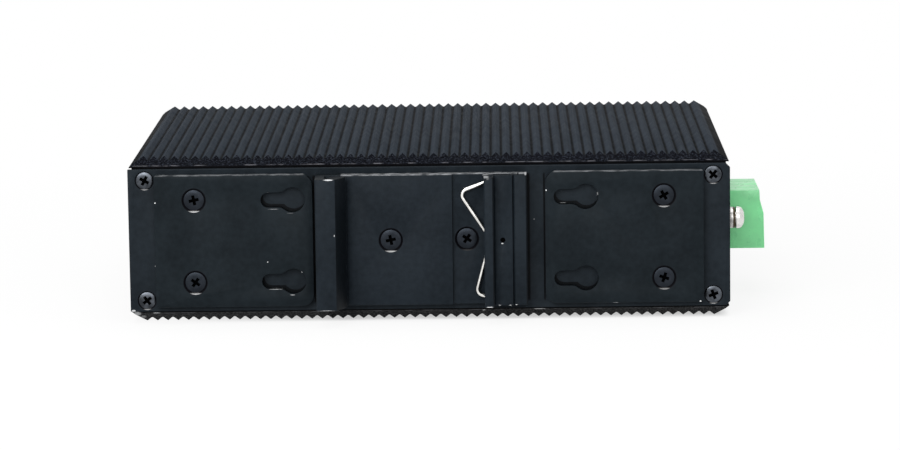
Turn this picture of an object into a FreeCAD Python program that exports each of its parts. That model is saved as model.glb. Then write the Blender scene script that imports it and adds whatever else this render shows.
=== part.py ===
import FreeCAD, Part

import math
import os

# Fanless network switch for a 35 mm rail, lying on one finned side.
# X runs along the case (up when it hangs on a rail), Y from the rail towards the ports, Z across.
# The origin is on the seat that the rail lies against, at half the length and half the height
# of the case. All sizes are in millimetres.

V = FreeCAD.Vector

# Case
CASE_LENGTH = 143.0
CASE_DEPTH = 100.0
CASE_HEIGHT = 39.9
PANEL_STEP = 2.85
PANEL_THICK = 1.2
PANEL_OVERHANG = 0.1
PANEL_CORNER_CUT = 1.0
SEAM_GAP = 0.25

# Toothed covers
TOOTH_PITCH = 2.47
TOOTH_DEPTH = 0.95
VALLEY_FLAT = 0.3
BEVEL_RUN = 3.54
BEVEL_BREAK_RUN = 0.85
BEVEL_BREAK_RISE = 0.85
END_CHAMFER = 1.4
COVER_WALL = 2.2
RIM_DROP = 0.8
RIM_WIDTH = 7.0
RIM_SETBACK = 0.8
PORT_HOLE_R = 1.3
PORT_WALL = 1.0
PORT_SLOT = 0.9

# Corner screws of both panels
SCREW_INSET_X = 3.9
SCREW_INSET_Z = 2.65
CORNER_HEAD_R = 2.1
CORNER_CONE = 1.1
CORNER_SHANK_R = 1.25
CORNER_LENGTH = 8.0
CORNER_TURNS = (38, 62, 20, 51)

# End panels
END_THICK = 1.2
END_INSET = 0.3
END_TAB = 5.6
EDGE_CLEAR = 0.1
BEND_OUTER_R = 1.3

# Machine screws of the brackets, the clip and the ground point
M3_HEAD_R = 2.75
M3_HEAD_CONE = 1.5
M3_SHANK_R = 1.5
HOLE_CLEAR = 0.1
CROSS_WIDTH = 0.75
CROSS_DEPTH = 0.9
M3_TURNS = (12, 55, 30, 71)
CROSS_SPREAD = 1.15
CROSS_FLOOR_SHARE = 0.55
SCREW_PAST_NUT = 1.0

# Flats that stand for the curve of a small turned piece, and of one that is hidden
FLAT_COUNT = 16
HIDDEN_FLAT_COUNT = 8

# Places nearer than this are the same; cutters stand out of what they cut by the other
NEAR = 1e-6
OVERCUT = 1.0

# Clinched nuts
NUT_R = 3.1
NUT_HEIGHT = 1.6
NUT_SHANK_R = 2.2
NUT_BORE_CLEAR = 0.05

# Wall brackets
BRACKET_END_GAP = 5.7
BRACKET_CLIP_GAP = 0.9
BRACKET_STEP = 1.25
BRACKET_THICK = 2.0
BRACKET_INNER_R = 2.8
BRACKET_OUTER_R = 0.6
BRACKET_SCREW_IN_X = 10.0
BRACKET_SCREW_IN_Z = 5.95
KEY_IN_Z = 6.05
KEY_SLOT_R = 1.8
KEY_ROUND_R = 3.0
KEY_TRAVEL = 5.7
KEY_BLEND_R = 2.2
KEY_STEP = 20
LEFT_SLOT_IN = 10.5
RIGHT_SLOT_IN = 3.9

# Rail clip: rail and jaws
RAIL_WIDTH = 35.0
RAIL_CENTRE_X = -3.25
RAIL_GRIP = 1.15
RAIL_FLANGE = 1.0
FLANGE_CLEAR = 0.4
CLIP_STEP = 1.45
CLIP_PLATE = 3.0
HOOK_HEIGHT = 7.2
HOOK_WALL = 2.2
HOOK_LIP = 4.8
HOOK_RUN = 2.3
HOOK_NOSE = 2.8
HOOK_RELIEF = 0.25
HOOK_UNDERCUT_SHARE = 0.25
HOOK_ROOT_SHARE = 0.4
CLIP_SCREW_FROM_MIDDLE = 5.85
CLIP_SCREW_FROM_PIN = 8.5
RECESS_FROM_PIN = 11.9
RECESS_DROP = 1.0
EDGE_BREAK = 0.3

# Rail clip: sliding jaw
SLIDER_LENGTH = 10.2
SLIDER_LIP_HEIGHT = 5.2
SLIDER_LIP_WIDTH = 2.3
SLIDER_FACE = 2.5
SLIDER_BAND_WIDTH = 3.2
SLIDER_BAND_DROP = 0.5
SLIDER_SKIN = 1.4
SLIDER_LEG = 1.9
SLIDER_FOOT = 0.8
SLIDER_STOP_WIDTH = 0.9
SLIDER_TRAVEL = 2.5
SLIDER_LIP_CUT = 1.1
SLIDER_LIP_SLANT = 0.5
GROOVE_SIZE = 0.3
SLIDE_CLEAR = 0.1
STOP_CLEAR = 0.3
TONGUE_THICK = 1.0
LAND_WIDTH = 1.6
LAND_GAP = 11.0

# Rail clip: pin and wire spring
PIN_R = 0.6
PIN_SUNK = 0.5
PIN_X_IN = 4.4
PIN_Z = 0.1
WIRE_R = 0.47
WIRE_FLOOR_GAP = 0.05
WIRE_LOOP_CLEAR = 0.1
WIRE_FLAT_COUNT = 6
WIRE_STEP = 0.33
WIRE_BEND_R = 1.5
WIRE_LEG = 1.7
WIRE_HOLE_CLEAR = 0.1
# Each place of the wire is given from the pin along X and from the clip's edge along Z
SPRING_TOP_BOW = (9.9, 4.35)
SPRING_TOP_END = (2.9, 1.75)
SPRING_TOP_NECK = 3.6
SPRING_LOW_NECK = 3.5
SPRING_LOW_BOW = (6.9, 2.35)
SPRING_LOW_END = (2.9, 1.45)

# Circuit board
BOARD_THICK = 1.6
BOARD_LIFT = 5.8
BOARD_LEFT_GAP = 4.0
BOARD_RIGHT_GAP = 0.4
BOARD_REAR_GAP = 8.0
BOARD_FRONT_GAP = 0.1
STANDOFF_R = 2.7
STANDOFF_FLAT_COUNT = 6
STANDOFF_BORE_R = 1.3
STANDOFF_LEFT_GAP = 6.5
STANDOFF_RIGHT_GAP = 10.1
STANDOFF_INSET_Y = 9.0
BOARD_SCREW_HEAD_R = 2.6
BOARD_SCREW_HEAD = 1.8
BOARD_SCREW_SHANK_R = 1.2
BOARD_SCREW_REACH = 3.5

# Network ports
PORT_COUNT = 5
PORTS_LEFT_GAP = 18.45
PORT_GAP = 3.1
JACK_WIDTH = 15.9
JACK_HEIGHT = 13.5
JACK_DEPTH = 21.3
JACK_SKIN = 0.25
JACK_PROUD = 0.5
WINDOW_CLEAR = 0.15
PLUG_WIDTH = 11.9
PLUG_HEIGHT = 7.0
PLUG_DEPTH = 12.5
CAVITY_LIFT = 4.8
LATCH_WIDTH = 6.2
LATCH_HEIGHT = 1.6
LATCH_KEY_WIDTH = 3.6
LATCH_KEY_HEIGHT = 1.2
CONTACTS = 8
CONTACT_PITCH = 1.27
CONTACT_SIZE = 0.45
CONTACT_DROP = 1.9
CONTACT_RUN = 7.5

# Lights: two in each jack and a row of status lights on light pipes
JACK_LIGHT = (3.0, 1.8)
JACK_LIGHT_INSET = 0.7
JACK_LIGHT_LONG = 6.0
STATUS_LIGHTS = 3
STATUS_PITCH = 5.0
STATUS_LEFT_GAP = 3.5
STATUS_RIGHT_GAP = 1.95
STATUS_ABOVE_JACK = 4.9
STATUS_BELOW_EDGE = 8.1
LIGHT_R = 1.5
LIGHT_STEM = 2.2
LIGHT_BACK = 1.4
LIGHT_PROUD = 0.6

# Supply terminals
POLES = 4
POLE_PITCH = 5.08
PLUG_START_Y = 34.2
PLUG_LIFT = 0.97
PLUG_TALL = 14.28
PLUG_OUT = 10.64
PLUG_WALL_GAP = 0.2
PLUG_SLOPE_LOW = 8.7
PLUG_SLOPE_HIGH = 11.95
PLUG_FACE_DRAFT = 0.2
PLUG_TOP_DRAFT = 0.1
PLUG_TOP_SETBACK = 1.1
PLUG_TONGUE = 8.0
PLUG_TONGUE_HEIGHT = 9.2
PLUG_SIDE_CLEAR = 0.25
HEADER_WALL = 1.0
HEADER_BACK = 3.2
HEADER_MOUTH_GAP = 0.3
HEADER_PIN = 1.0
HEADER_PIN_Z = 6.0
HEADER_PIN_TAIL = 1.2
PIN_HOLE_CLEAR = 0.15
ENTRY_WIDTH = 3.4
ENTRY_HEIGHT = 3.2
ENTRY_DEPTH = 9.0
CAGE_LENGTH = 4.4
CAGE_WALL = 0.6
CAGE_SIDE_GAP = 0.2
CAGE_IN = 1.2
CLAMP_HEAD_R = 1.7
CLAMP_HEAD = 1.3
CLAMP_SHANK_R = 1.1
CLAMP_SUNK = 0.5
CLAMP_SLOT = 0.5

# Ground point
GROUND_Y = 26.2
GROUND_Z = 0.5
TOOTH_WASHER_R = 3.0
TOOTH_WASHER_THICK = 0.9
TOOTH_WASHER_COUNT = 8
TOOTH_WASHER_REACH = 0.6
TOOTH_WASHER_ROOT = 1.0
TOOTH_WASHER_WIDTH = 1.0
FLAT_WASHER_R = 3.2
FLAT_WASHER_THICK = 0.6
SPRING_WASHER_R = 2.6
SPRING_WASHER_THICK = 0.9
SPRING_WASHER_RISE = 0.7
PAN_HEAD_R = 2.7
PAN_HEAD = 2.1
PAN_DOME_SHARE = 0.4
GROUND_LENGTH = 8.0

# Components on the board
CHIP_SIZE = 14.0
CHIP_THICK = 1.5
CHIP_X = 2.0
CHIP_BEHIND_JACKS = 32.6
PAD_INSET = 1.0
TRANSFORMER = (15.0, 7.6, 6.2)
TRANSFORMER_BACK = 4.0
POWER_BLOCK = (19.0, 16.0, 13.0)
POWER_BLOCK_GAP = 3.0
POWER_HEADER_GAP = 9.2
CORE_DEPTH_SHARE = 0.55
WINDING_WIDTH_SHARE = 0.62
WINDING_HEIGHT_SHARE = 0.8
INDUCTOR = (11.0, 11.0, 6.5)
INDUCTOR_CORNER = 1.5
INDUCTOR_PITCH = 16.0
CAPACITOR_R = 5.0
CAPACITOR_TALL = 16.0
CAPACITOR_EDGE = 0.6
CAPACITOR_PITCH = 13.0
OUTPUT_CAPACITOR_ASIDE = 4.0
OUTPUT_CAPACITOR_GAP = 9.0
ROW_COUNT = 3
ROW_INSET = 14.0
ROW_GAPS = (7.1, 9.5, 11.5)
CONTROLLER = (7.0, 7.0, 1.0)
CONTROLLER_BACK = 7.0
CONTROLLER_GAP = 12.0
CONTROLLER_PITCH = 15.0

# Worked out from the values above
HALF = CASE_HEIGHT / 2
PANEL_HEIGHT = CASE_HEIGHT - 2 * PANEL_STEP
BRACKET_HEIGHT = PANEL_HEIGHT - 2 * BRACKET_STEP
CLIP_WIDTH = PANEL_HEIGHT - 2 * CLIP_STEP
SEAM_Z = PANEL_HEIGHT / 2 + SEAM_GAP
INNER_Z = HALF - TOOTH_DEPTH - COVER_WALL
RIM_Z = INNER_Z - RIM_DROP
PANEL_REAR = CLIP_PLATE
COVER_START = PANEL_REAR + PANEL_THICK
COVER_END = COVER_START + CASE_DEPTH
FRONT_FACE = COVER_END + PANEL_THICK
SCREW_X = CASE_LENGTH / 2 - SCREW_INSET_X
SCREW_Z = PANEL_HEIGHT / 2 - SCREW_INSET_Z
END_OUT = CASE_LENGTH / 2 - END_INSET
END_IN = END_OUT - END_THICK
END_HALF = RIM_Z - EDGE_CLEAR
BRACKET_FACE = PANEL_REAR - BRACKET_THICK
BOARD_UNDER = -INNER_Z + BOARD_LIFT
BOARD_TOP = BOARD_UNDER + BOARD_THICK
JACK_FRONT = FRONT_FACE + JACK_PROUD
JACK_BACK = JACK_FRONT - JACK_DEPTH
CAVITY_Z = BOARD_TOP + CAVITY_LIFT
HOOK_NOSE_X = RAIL_CENTRE_X - RAIL_WIDTH / 2 + RAIL_GRIP
HOOK_LEFT = HOOK_NOSE_X - HOOK_RUN - HOOK_LIP
SLIDER_LEFT = RAIL_CENTRE_X + RAIL_WIDTH / 2 - RAIL_GRIP
SLIDER_RIGHT = SLIDER_LEFT + SLIDER_LENGTH
BASE_RIGHT = SLIDER_RIGHT - SLIDER_LEG - STOP_CLEAR
FLANGE_GAP = RAIL_FLANGE + FLANGE_CLEAR
PIN_X = SLIDER_LEFT + PIN_X_IN
BRACKET_IN = BRACKET_CLIP_GAP - HOOK_LEFT
BRACKET_OUT = CASE_LENGTH / 2 - BRACKET_END_GAP
KEY_Z = BRACKET_HEIGHT / 2 - KEY_IN_Z
TRANSFORMER_REAR = JACK_BACK - TRANSFORMER_BACK - TRANSFORMER[1]
PLUG_BASE_Z = BOARD_TOP + PLUG_LIFT
PLUG_LONG = POLES * POLE_PITCH
PLUG_X = END_OUT + PLUG_WALL_GAP
TONGUE_Z = PLUG_BASE_Z + PLUG_SIDE_CLEAR


def box(x0, x1, y0, y1, z0, z1):
    return Part.makeBox(x1 - x0, y1 - y0, z1 - z0, V(x0, y0, z0))


def prism_along_y(points, y0, y1):
    """Extrude an outline of (x, z) points from y0 to y1."""
    wire = Part.makePolygon([V(x, y0, z) for x, z in points + points[:1]])
    return Part.Face(wire).extrude(V(0, y1 - y0, 0))


def prism_along_z(points, z0, z1):
    """Extrude an outline of (x, y) points from z0 to z1."""
    wire = Part.makePolygon([V(x, y, z0) for x, y in points + points[:1]])
    return Part.Face(wire).extrude(V(0, 0, z1 - z0))


def prism_along_x(points, x0, x1):
    """Extrude an outline of (y, z) points from x0 to x1."""
    wire = Part.makePolygon([V(x0, y, z) for y, z in points + points[:1]])
    return Part.Face(wire).extrude(V(x1 - x0, 0, 0))


def skinned(rings):
    """Closed solid over rings of corners that follow each other, with flat faces between them."""
    faces = [Part.Face(Part.makePolygon(ring + ring[:1])) for ring in (rings[0], rings[-1])]
    for ring, following in zip(rings, rings[1:]):
        for index in range(len(ring)):
            after = (index + 1) % len(ring)
            a, b, c, d = ring[index], ring[after], following[after], following[index]
            twist = abs((b - a).cross(d - a).normalize().dot(c - a))
            patches = [(a, b, c, d, a)] if twist < NEAR else [(a, b, c, a), (a, c, d, a)]
            faces += [Part.Face(Part.makePolygon(patch)) for patch in patches]
    shape = Part.Solid(Part.Shell(faces))
    shape.fix(NEAR, NEAR, NEAR)
    return shape if shape.Volume > 0 else shape.reversed()


def polygon_ring(radius, centre, direction, sides):
    """Corners of a regular polygon round an axis along X, Y or Z, two of them level with it."""
    across = V(0, 1, 0) if abs(direction.x) > 0.5 else V(1, 0, 0)
    up = V(0, 1, 0) if abs(direction.z) > 0.5 else V(0, 0, 1)
    turns = [2 * math.pi * index / sides for index in range(sides)]
    return [centre + across * (radius * math.cos(turn)) + up * (radius * math.sin(turn)) for turn in turns]


def rod(radius, start, direction, length, sides=0):
    """Round bar, or a prism with a few flats for a small piece that is mostly hidden."""
    if sides == 0:
        return Part.makeCylinder(radius, length, start, direction)
    ring = polygon_ring(radius, start, direction, sides)
    return Part.Face(Part.makePolygon(ring + ring[:1])).extrude(direction * length)


def turned(profile, sides):
    """Turned piece along +Y from (radius, y) pairs, with flats in place of its curved faces."""
    return skinned([polygon_ring(radius, V(0, y, 0), V(0, 1, 0), sides) for radius, y in profile])


def mirrored_z(shape):
    return shape.mirror(V(0, 0, 0), V(0, 0, 1))


def corners():
    """Centres of the four corner screws as (x, z)."""
    return [(sx * SCREW_X, sz * SCREW_Z) for sx in (-1, 1) for sz in (-1, 1)]


def save(name, shape):
    """Write one node; a group is several separate solids."""
    if isinstance(shape, list):
        shape = Part.makeCompound(shape)
    shape.exportStep("parts/" + name + ".step")


# Toothed covers

def teeth_count():
    return int(round((CASE_LENGTH - 2 * BEVEL_RUN) / TOOTH_PITCH)) + 1


def cover_outline():
    """Outer line of the upper cover from its left corner over the teeth to the right one."""
    count = teeth_count()
    span = CASE_LENGTH - 2 * BEVEL_RUN
    pitch = span / (count - 1)
    edge = CASE_LENGTH / 2
    line = [(-edge, SEAM_Z), (-edge + BEVEL_BREAK_RUN, SEAM_Z + BEVEL_BREAK_RISE)]
    for index in range(count):
        tip = -span / 2 + index * pitch
        line.append((tip, HALF))
        if index < count - 1:
            middle = tip + pitch / 2
            line.append((middle - VALLEY_FLAT / 2, HALF - TOOTH_DEPTH))
            line.append((middle + VALLEY_FLAT / 2, HALF - TOOTH_DEPTH))
    line += [(edge - BEVEL_BREAK_RUN, SEAM_Z + BEVEL_BREAK_RISE), (edge, SEAM_Z)]
    return line


def cover_inside():
    """Inner line of the upper cover from the right corner back to the left one."""
    edge = CASE_LENGTH / 2
    step = edge - RIM_SETBACK
    inner = edge - RIM_WIDTH
    half = [(step, SEAM_Z), (step, RIM_Z), (inner, RIM_Z), (inner - RIM_DROP, INNER_Z)]
    return half + [(-x, z) for x, z in reversed(half)]


def screw_port(x):
    """Boss that runs the whole depth under the rim and takes a corner screw at each end."""
    outer = PORT_HOLE_R + PORT_WALL
    boss = rod(outer, V(x, COVER_START, SCREW_Z), V(0, 1, 0), CASE_DEPTH, FLAT_COUNT)
    neck = box(x - outer, x + outer, COVER_START, COVER_END, SCREW_Z, RIM_Z + RIM_DROP / 2)
    return boss.fuse(neck)


def port_bore(x):
    """The screw hole of a boss, open below by a narrow slot as an extruded port is."""
    below = SCREW_Z - PORT_HOLE_R - 2 * PORT_WALL
    hole = rod(PORT_HOLE_R, V(x, COVER_START, SCREW_Z), V(0, 1, 0), CASE_DEPTH, FLAT_COUNT)
    slot = box(x - PORT_SLOT / 2, x + PORT_SLOT / 2, COVER_START, COVER_END, below, SCREW_Z)
    return hole.fuse(slot)


def end_chamfer(at, inward):
    """Wedge that is milled off the teeth at one end; inward is +1 at the rear and -1 in front."""
    top = HALF + TOOTH_DEPTH
    reach = END_CHAMFER * (top - SEAM_Z) / (HALF - SEAM_Z)
    outside = at - inward * OVERCUT
    outline = [(outside, SEAM_Z), (at, SEAM_Z), (at + inward * reach, top), (outside, top)]
    return prism_along_x(outline, -CASE_LENGTH, CASE_LENGTH)


def tab_pocket(side, at, inward):
    """Room that is milled back at a rim's end for the tab of an end panel."""
    deep = END_THICK + EDGE_CLEAR
    low = SCREW_Z - PORT_HOLE_R - 2 * PORT_WALL
    xs = sorted((side * (END_IN - END_TAB - EDGE_CLEAR), side * (END_IN + EDGE_CLEAR)))
    ys = sorted((at, at + inward * deep))
    return box(xs[0], xs[1], ys[0], ys[1], low, PANEL_HEIGHT / 2)


def upper_cover():
    body = prism_along_y(cover_outline() + cover_inside(), COVER_START, COVER_END)
    tools = [end_chamfer(COVER_START, 1), end_chamfer(COVER_END, -1)]
    for side in (-1, 1):
        body = body.fuse(screw_port(side * SCREW_X))
        tools.append(port_bore(side * SCREW_X))
        tools.append(tab_pocket(side, COVER_START, 1))
        tools.append(tab_pocket(side, COVER_END, -1))
    return body.cut(Part.makeCompound(tools)).removeSplitter()


# Screws

def cross_recess(size, depth):
    """Tapered cross that a screwdriver enters, pointing along +Y from the origin."""
    wings = []
    for turn in (0, 90):
        half = size / 2
        thick = CROSS_WIDTH / 2
        floor = half * CROSS_FLOOR_SHARE
        outline = [V(-half, 0, -thick), V(half, 0, -thick), V(floor, depth, -thick), V(-floor, depth, -thick)]
        wing = Part.Face(Part.makePolygon(outline + outline[:1])).extrude(V(0, 0, 2 * thick))
        wing.rotate(V(0, 0, 0), V(0, 1, 0), turn)
        wings.append(wing)
    return wings[0].fuse(wings[1])


def countersunk_screw(head_r, cone, shank_r, length, turn=0.0):
    """Flat head screw along +Y, its head's face in the plane of the origin."""
    recess = cross_recess(head_r * CROSS_SPREAD, CROSS_DEPTH)
    recess.rotate(V(0, 0, 0), V(0, 1, 0), turn)
    return turned([(head_r, 0), (shank_r, cone), (shank_r, length)], FLAT_COUNT).cut(recess)


def countersink(head_r, cone, shank_r, depth):
    """Cutter for the seat of a countersunk screw along +Y."""
    wide = head_r + HOLE_CLEAR
    narrow = shank_r + HOLE_CLEAR
    return turned([(wide, -OVERCUT), (wide, 0), (narrow, cone), (narrow, depth)], FLAT_COUNT)


def placed(shape, x, y, z):
    moved = shape.copy()
    moved.translate(V(x, y, z))
    return moved


def rear_corner_screws():
    screws = []
    for (x, z), turn in zip(corners(), CORNER_TURNS):
        screw = countersunk_screw(CORNER_HEAD_R, CORNER_CONE, CORNER_SHANK_R, CORNER_LENGTH, turn)
        screws.append(placed(screw, x, PANEL_REAR, z))
    return screws


def front_corner_screws():
    screws = []
    for (x, z), turn in zip(corners(), CORNER_TURNS):
        screw = countersunk_screw(CORNER_HEAD_R, CORNER_CONE, CORNER_SHANK_R, CORNER_LENGTH, turn)
        screw.rotate(V(0, 0, 0), V(0, 0, 1), 180)
        screws.append(placed(screw, x, FRONT_FACE, z))
    return screws


# Panels

def bracket_screw_places():
    x = BRACKET_OUT - BRACKET_SCREW_IN_X
    z = BRACKET_HEIGHT / 2 - BRACKET_SCREW_IN_Z
    return [(sx * x, sz * z) for sx in (-1, 1) for sz in (1, -1)]


def clip_screw_places():
    return [(RAIL_CENTRE_X - CLIP_SCREW_FROM_MIDDLE, 0.0), (PIN_X - CLIP_SCREW_FROM_PIN, 0.0)]


def rear_panel():
    left = -CASE_LENGTH / 2 - PANEL_OVERHANG
    right = CASE_LENGTH / 2 + PANEL_OVERHANG
    tall = PANEL_HEIGHT / 2
    cut = PANEL_CORNER_CUT
    outline = [(left, -tall), (right - cut, -tall), (right, -tall + cut),
               (right, tall - cut), (right - cut, tall), (left, tall)]
    plate = prism_along_y(outline, PANEL_REAR, COVER_START)
    seat = countersink(CORNER_HEAD_R, CORNER_CONE, CORNER_SHANK_R, PANEL_THICK + OVERCUT)
    tools = [placed(seat, x, PANEL_REAR, z) for x, z in corners()]
    deep = PANEL_THICK + 2 * OVERCUT
    for x, z in bracket_screw_places() + clip_screw_places():
        start = V(x, PANEL_REAR - OVERCUT, z)
        tools.append(rod(NUT_SHANK_R, start, V(0, 1, 0), deep, HIDDEN_FLAT_COUNT))
    return plate.cut(Part.makeCompound(tools))


def front_gap(gap):
    """One of the gaps along the front panel, widened or narrowed as all of them are to fill the case."""
    gaps = PORTS_LEFT_GAP + (PORT_COUNT - 1) * PORT_GAP + STATUS_LEFT_GAP + STATUS_RIGHT_GAP
    lights = (STATUS_LIGHTS - 1) * STATUS_PITCH + 2 * LIGHT_R
    room = 2 * (END_IN - END_TAB) - PORT_COUNT * JACK_WIDTH - lights
    return gap * room / gaps


def port_places():
    first = -END_IN + END_TAB + front_gap(PORTS_LEFT_GAP) + JACK_WIDTH / 2
    return [first + index * (JACK_WIDTH + front_gap(PORT_GAP)) for index in range(PORT_COUNT)]


def status_places():
    """Status lights in a row beside the last port."""
    first = port_places()[-1] + JACK_WIDTH / 2 + front_gap(STATUS_LEFT_GAP) + LIGHT_R
    return [first + index * STATUS_PITCH for index in range(STATUS_LIGHTS)]


def status_z():
    """Height of the status lights between the jacks' tops and the panel's edge."""
    jack_top = BOARD_TOP + JACK_HEIGHT
    room = PANEL_HEIGHT / 2 - jack_top
    return jack_top + room * STATUS_ABOVE_JACK / (STATUS_ABOVE_JACK + STATUS_BELOW_EDGE)


def jack_light_boxes(x, grow):
    """The two lights of one jack, low in its corners beside the latch; grow is the room round them."""
    wide, tall = JACK_LIGHT
    low = BOARD_TOP + JACK_SKIN + JACK_LIGHT_INSET
    out = JACK_WIDTH / 2 - JACK_SKIN - JACK_LIGHT_INSET
    back = JACK_FRONT - JACK_SKIN - JACK_LIGHT_LONG
    boxes = []
    for x0, x1 in ((x - out, x - out + wide), (x + out - wide, x + out)):
        boxes.append(box(x0 - grow, x1 + grow, back - grow, JACK_FRONT - JACK_SKIN + grow,
                         low - grow, low + tall + grow))
    return boxes


def front_panel():
    edge = CASE_LENGTH / 2 + PANEL_OVERHANG
    tall = PANEL_HEIGHT / 2
    plate = box(-edge, edge, COVER_END, FRONT_FACE, -tall, tall)
    seat = countersink(CORNER_HEAD_R, CORNER_CONE, CORNER_SHANK_R, PANEL_THICK + OVERCUT)
    seat.rotate(V(0, 0, 0), V(0, 0, 1), 180)
    tools = [placed(seat, x, FRONT_FACE, z) for x, z in corners()]
    half = JACK_WIDTH / 2 + WINDOW_CLEAR
    for x in port_places():
        tools.append(box(x - half, x + half, COVER_END - OVERCUT, FRONT_FACE + OVERCUT,
                         BOARD_TOP - WINDOW_CLEAR, BOARD_TOP + JACK_HEIGHT + WINDOW_CLEAR))
    deep = PANEL_THICK + 2 * OVERCUT
    for x in status_places():
        start = V(x, COVER_END - OVERCUT, status_z())
        tools.append(rod(LIGHT_R + HOLE_CLEAR, start, V(0, 1, 0), deep, FLAT_COUNT))
    return plate.cut(Part.makeCompound(tools))


def end_panel(side):
    """Folded end panel; side is -1 at the left and +1 at the right."""
    tab_half = PANEL_HEIGHT / 2 - EDGE_CLEAR
    wall = box(END_IN, END_OUT, COVER_START, COVER_END, -END_HALF, END_HALF)
    rear = box(END_IN - END_TAB, END_OUT, COVER_START, COVER_START + END_THICK, -tab_half, tab_half)
    front = box(END_IN - END_TAB, END_OUT, COVER_END - END_THICK, COVER_END, -tab_half, tab_half)
    trims = []
    for z0, z1 in ((END_HALF, tab_half), (-tab_half, -END_HALF)):
        trims.append(box(END_IN - EDGE_CLEAR, END_OUT + OVERCUT, COVER_START, COVER_END, z0, z1))
    panel = wall.fuse([rear, front]).removeSplitter()
    outer_edges = []
    for edge in panel.Edges:
        first, last = edge.Vertexes[0].Point, edge.Vertexes[-1].Point
        upright = abs(first.x - last.x) < NEAR and abs(first.y - last.y) < NEAR
        at_end = abs(first.y - COVER_START) < NEAR or abs(first.y - COVER_END) < NEAR
        if upright and at_end and abs(first.x - END_OUT) < NEAR:
            outer_edges.append(edge)
    panel = panel.makeFillet(BEND_OUTER_R, outer_edges)
    holes = []
    hole_r = CORNER_SHANK_R + HOLE_CLEAR
    deep = END_THICK + 2 * OVERCUT
    for z in (-SCREW_Z, SCREW_Z):
        for y in (COVER_START, COVER_END - END_THICK):
            holes.append(rod(hole_r, V(SCREW_X, y - OVERCUT, z), V(0, 1, 0), deep, FLAT_COUNT))
    panel = panel.cut(Part.makeCompound(trims + holes))
    if side < 0:
        panel = panel.mirror(V(0, 0, 0), V(1, 0, 0))
    return panel


def right_end_panel():
    """The right end panel has the window of the supply terminals and the ground nut's hole."""
    low, high = header_height()
    window = box(END_IN - OVERCUT, END_OUT + OVERCUT,
                 PLUG_START_Y - HEADER_WALL, PLUG_START_Y + PLUG_LONG + HEADER_WALL,
                 low - WINDOW_CLEAR, high + WINDOW_CLEAR)
    start = V(END_IN - OVERCUT, GROUND_Y, GROUND_Z)
    nut_hole = rod(NUT_SHANK_R, start, V(1, 0, 0), END_THICK + 2 * OVERCUT, HIDDEN_FLAT_COUNT)
    return end_panel(1).cut(Part.makeCompound([window, nut_hole]))


def clinch_nut():
    """Nut clinched into sheet: its shank fills the sheet and its body stands behind, along +Y."""
    body = rod(NUT_R, V(0, PANEL_THICK, 0), V(0, 1, 0), NUT_HEIGHT, HIDDEN_FLAT_COUNT)
    shank = rod(NUT_SHANK_R, V(0, 0, 0), V(0, 1, 0), PANEL_THICK, HIDDEN_FLAT_COUNT)
    deep = PANEL_THICK + NUT_HEIGHT + 2 * OVERCUT
    bore = rod(M3_SHANK_R + NUT_BORE_CLEAR, V(0, -OVERCUT, 0), V(0, 1, 0), deep, FLAT_COUNT)
    return body.fuse(shank).cut(bore).removeSplitter()


def clinch_nuts():
    return [placed(clinch_nut(), x, PANEL_REAR, z) for x, z in bracket_screw_places() + clip_screw_places()]


def ground_nut():
    nut = clinch_nut()
    nut.rotate(V(0, 0, 0), V(0, 0, 1), 90)
    return placed(nut, END_OUT, GROUND_Y, GROUND_Z)


# Wall brackets

def arc_points(cx, cz, radius, start, end):
    """Points (x, z) along an arc between two angles in degrees, in short even steps."""
    steps = max(1, int(math.ceil(abs(end - start) / KEY_STEP)))
    turns = [math.radians(start + (end - start) * index / steps) for index in range(steps + 1)]
    return [(cx + radius * math.cos(turn), cz + radius * math.sin(turn)) for turn in turns]


def keyhole(slot_x, z):
    """Keyhole cutter: a slot, an S-shaped neck and a round end to its right."""
    round_x = slot_x + KEY_TRAVEL
    rise = KEY_SLOT_R + KEY_BLEND_R
    reach = KEY_ROUND_R + KEY_BLEND_R
    blend_x = round_x - math.sqrt(reach * reach - rise * rise)
    turn = math.degrees(math.asin(rise / reach))
    outline = arc_points(slot_x, z, KEY_SLOT_R, 90, 270)
    outline += arc_points(blend_x, z - rise, KEY_BLEND_R, 90, turn)
    outline += arc_points(round_x, z, KEY_ROUND_R, 180 + turn, 540 - turn)[1:]
    outline += arc_points(blend_x, z + rise, KEY_BLEND_R, -turn, -90)[1:]
    return prism_along_y(outline, BRACKET_FACE - OVERCUT, PANEL_REAR + OVERCUT)


def bracket_plate(inner, outer):
    """Plate between two x values with its larger corner radius at the inner end."""
    tall = BRACKET_HEIGHT / 2
    plate = box(min(inner, outer), max(inner, outer), BRACKET_FACE, PANEL_REAR, -tall, tall)
    for x, radius in ((inner, BRACKET_INNER_R), (outer, BRACKET_OUTER_R)):
        edges = []
        for edge in plate.Edges:
            first, last = edge.Vertexes[0].Point, edge.Vertexes[-1].Point
            across = abs(first.x - last.x) < NEAR and abs(first.z - last.z) < NEAR
            if across and abs(first.x - x) < NEAR:
                edges.append(edge)
        plate = plate.makeFillet(radius, edges)
    return plate


def wall_bracket(side):
    slot_x = -BRACKET_IN - LEFT_SLOT_IN if side < 0 else BRACKET_IN + RIGHT_SLOT_IN
    plate = bracket_plate(side * BRACKET_IN, side * BRACKET_OUT)
    seat = countersink(M3_HEAD_R, M3_HEAD_CONE, M3_SHANK_R, BRACKET_THICK + OVERCUT)
    tools = [placed(seat, x, BRACKET_FACE, z) for x, z in bracket_screw_places() if x * side > 0]
    tools += [keyhole(slot_x, KEY_Z), keyhole(slot_x, -KEY_Z)]
    return plate.cut(Part.makeCompound(tools))


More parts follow.
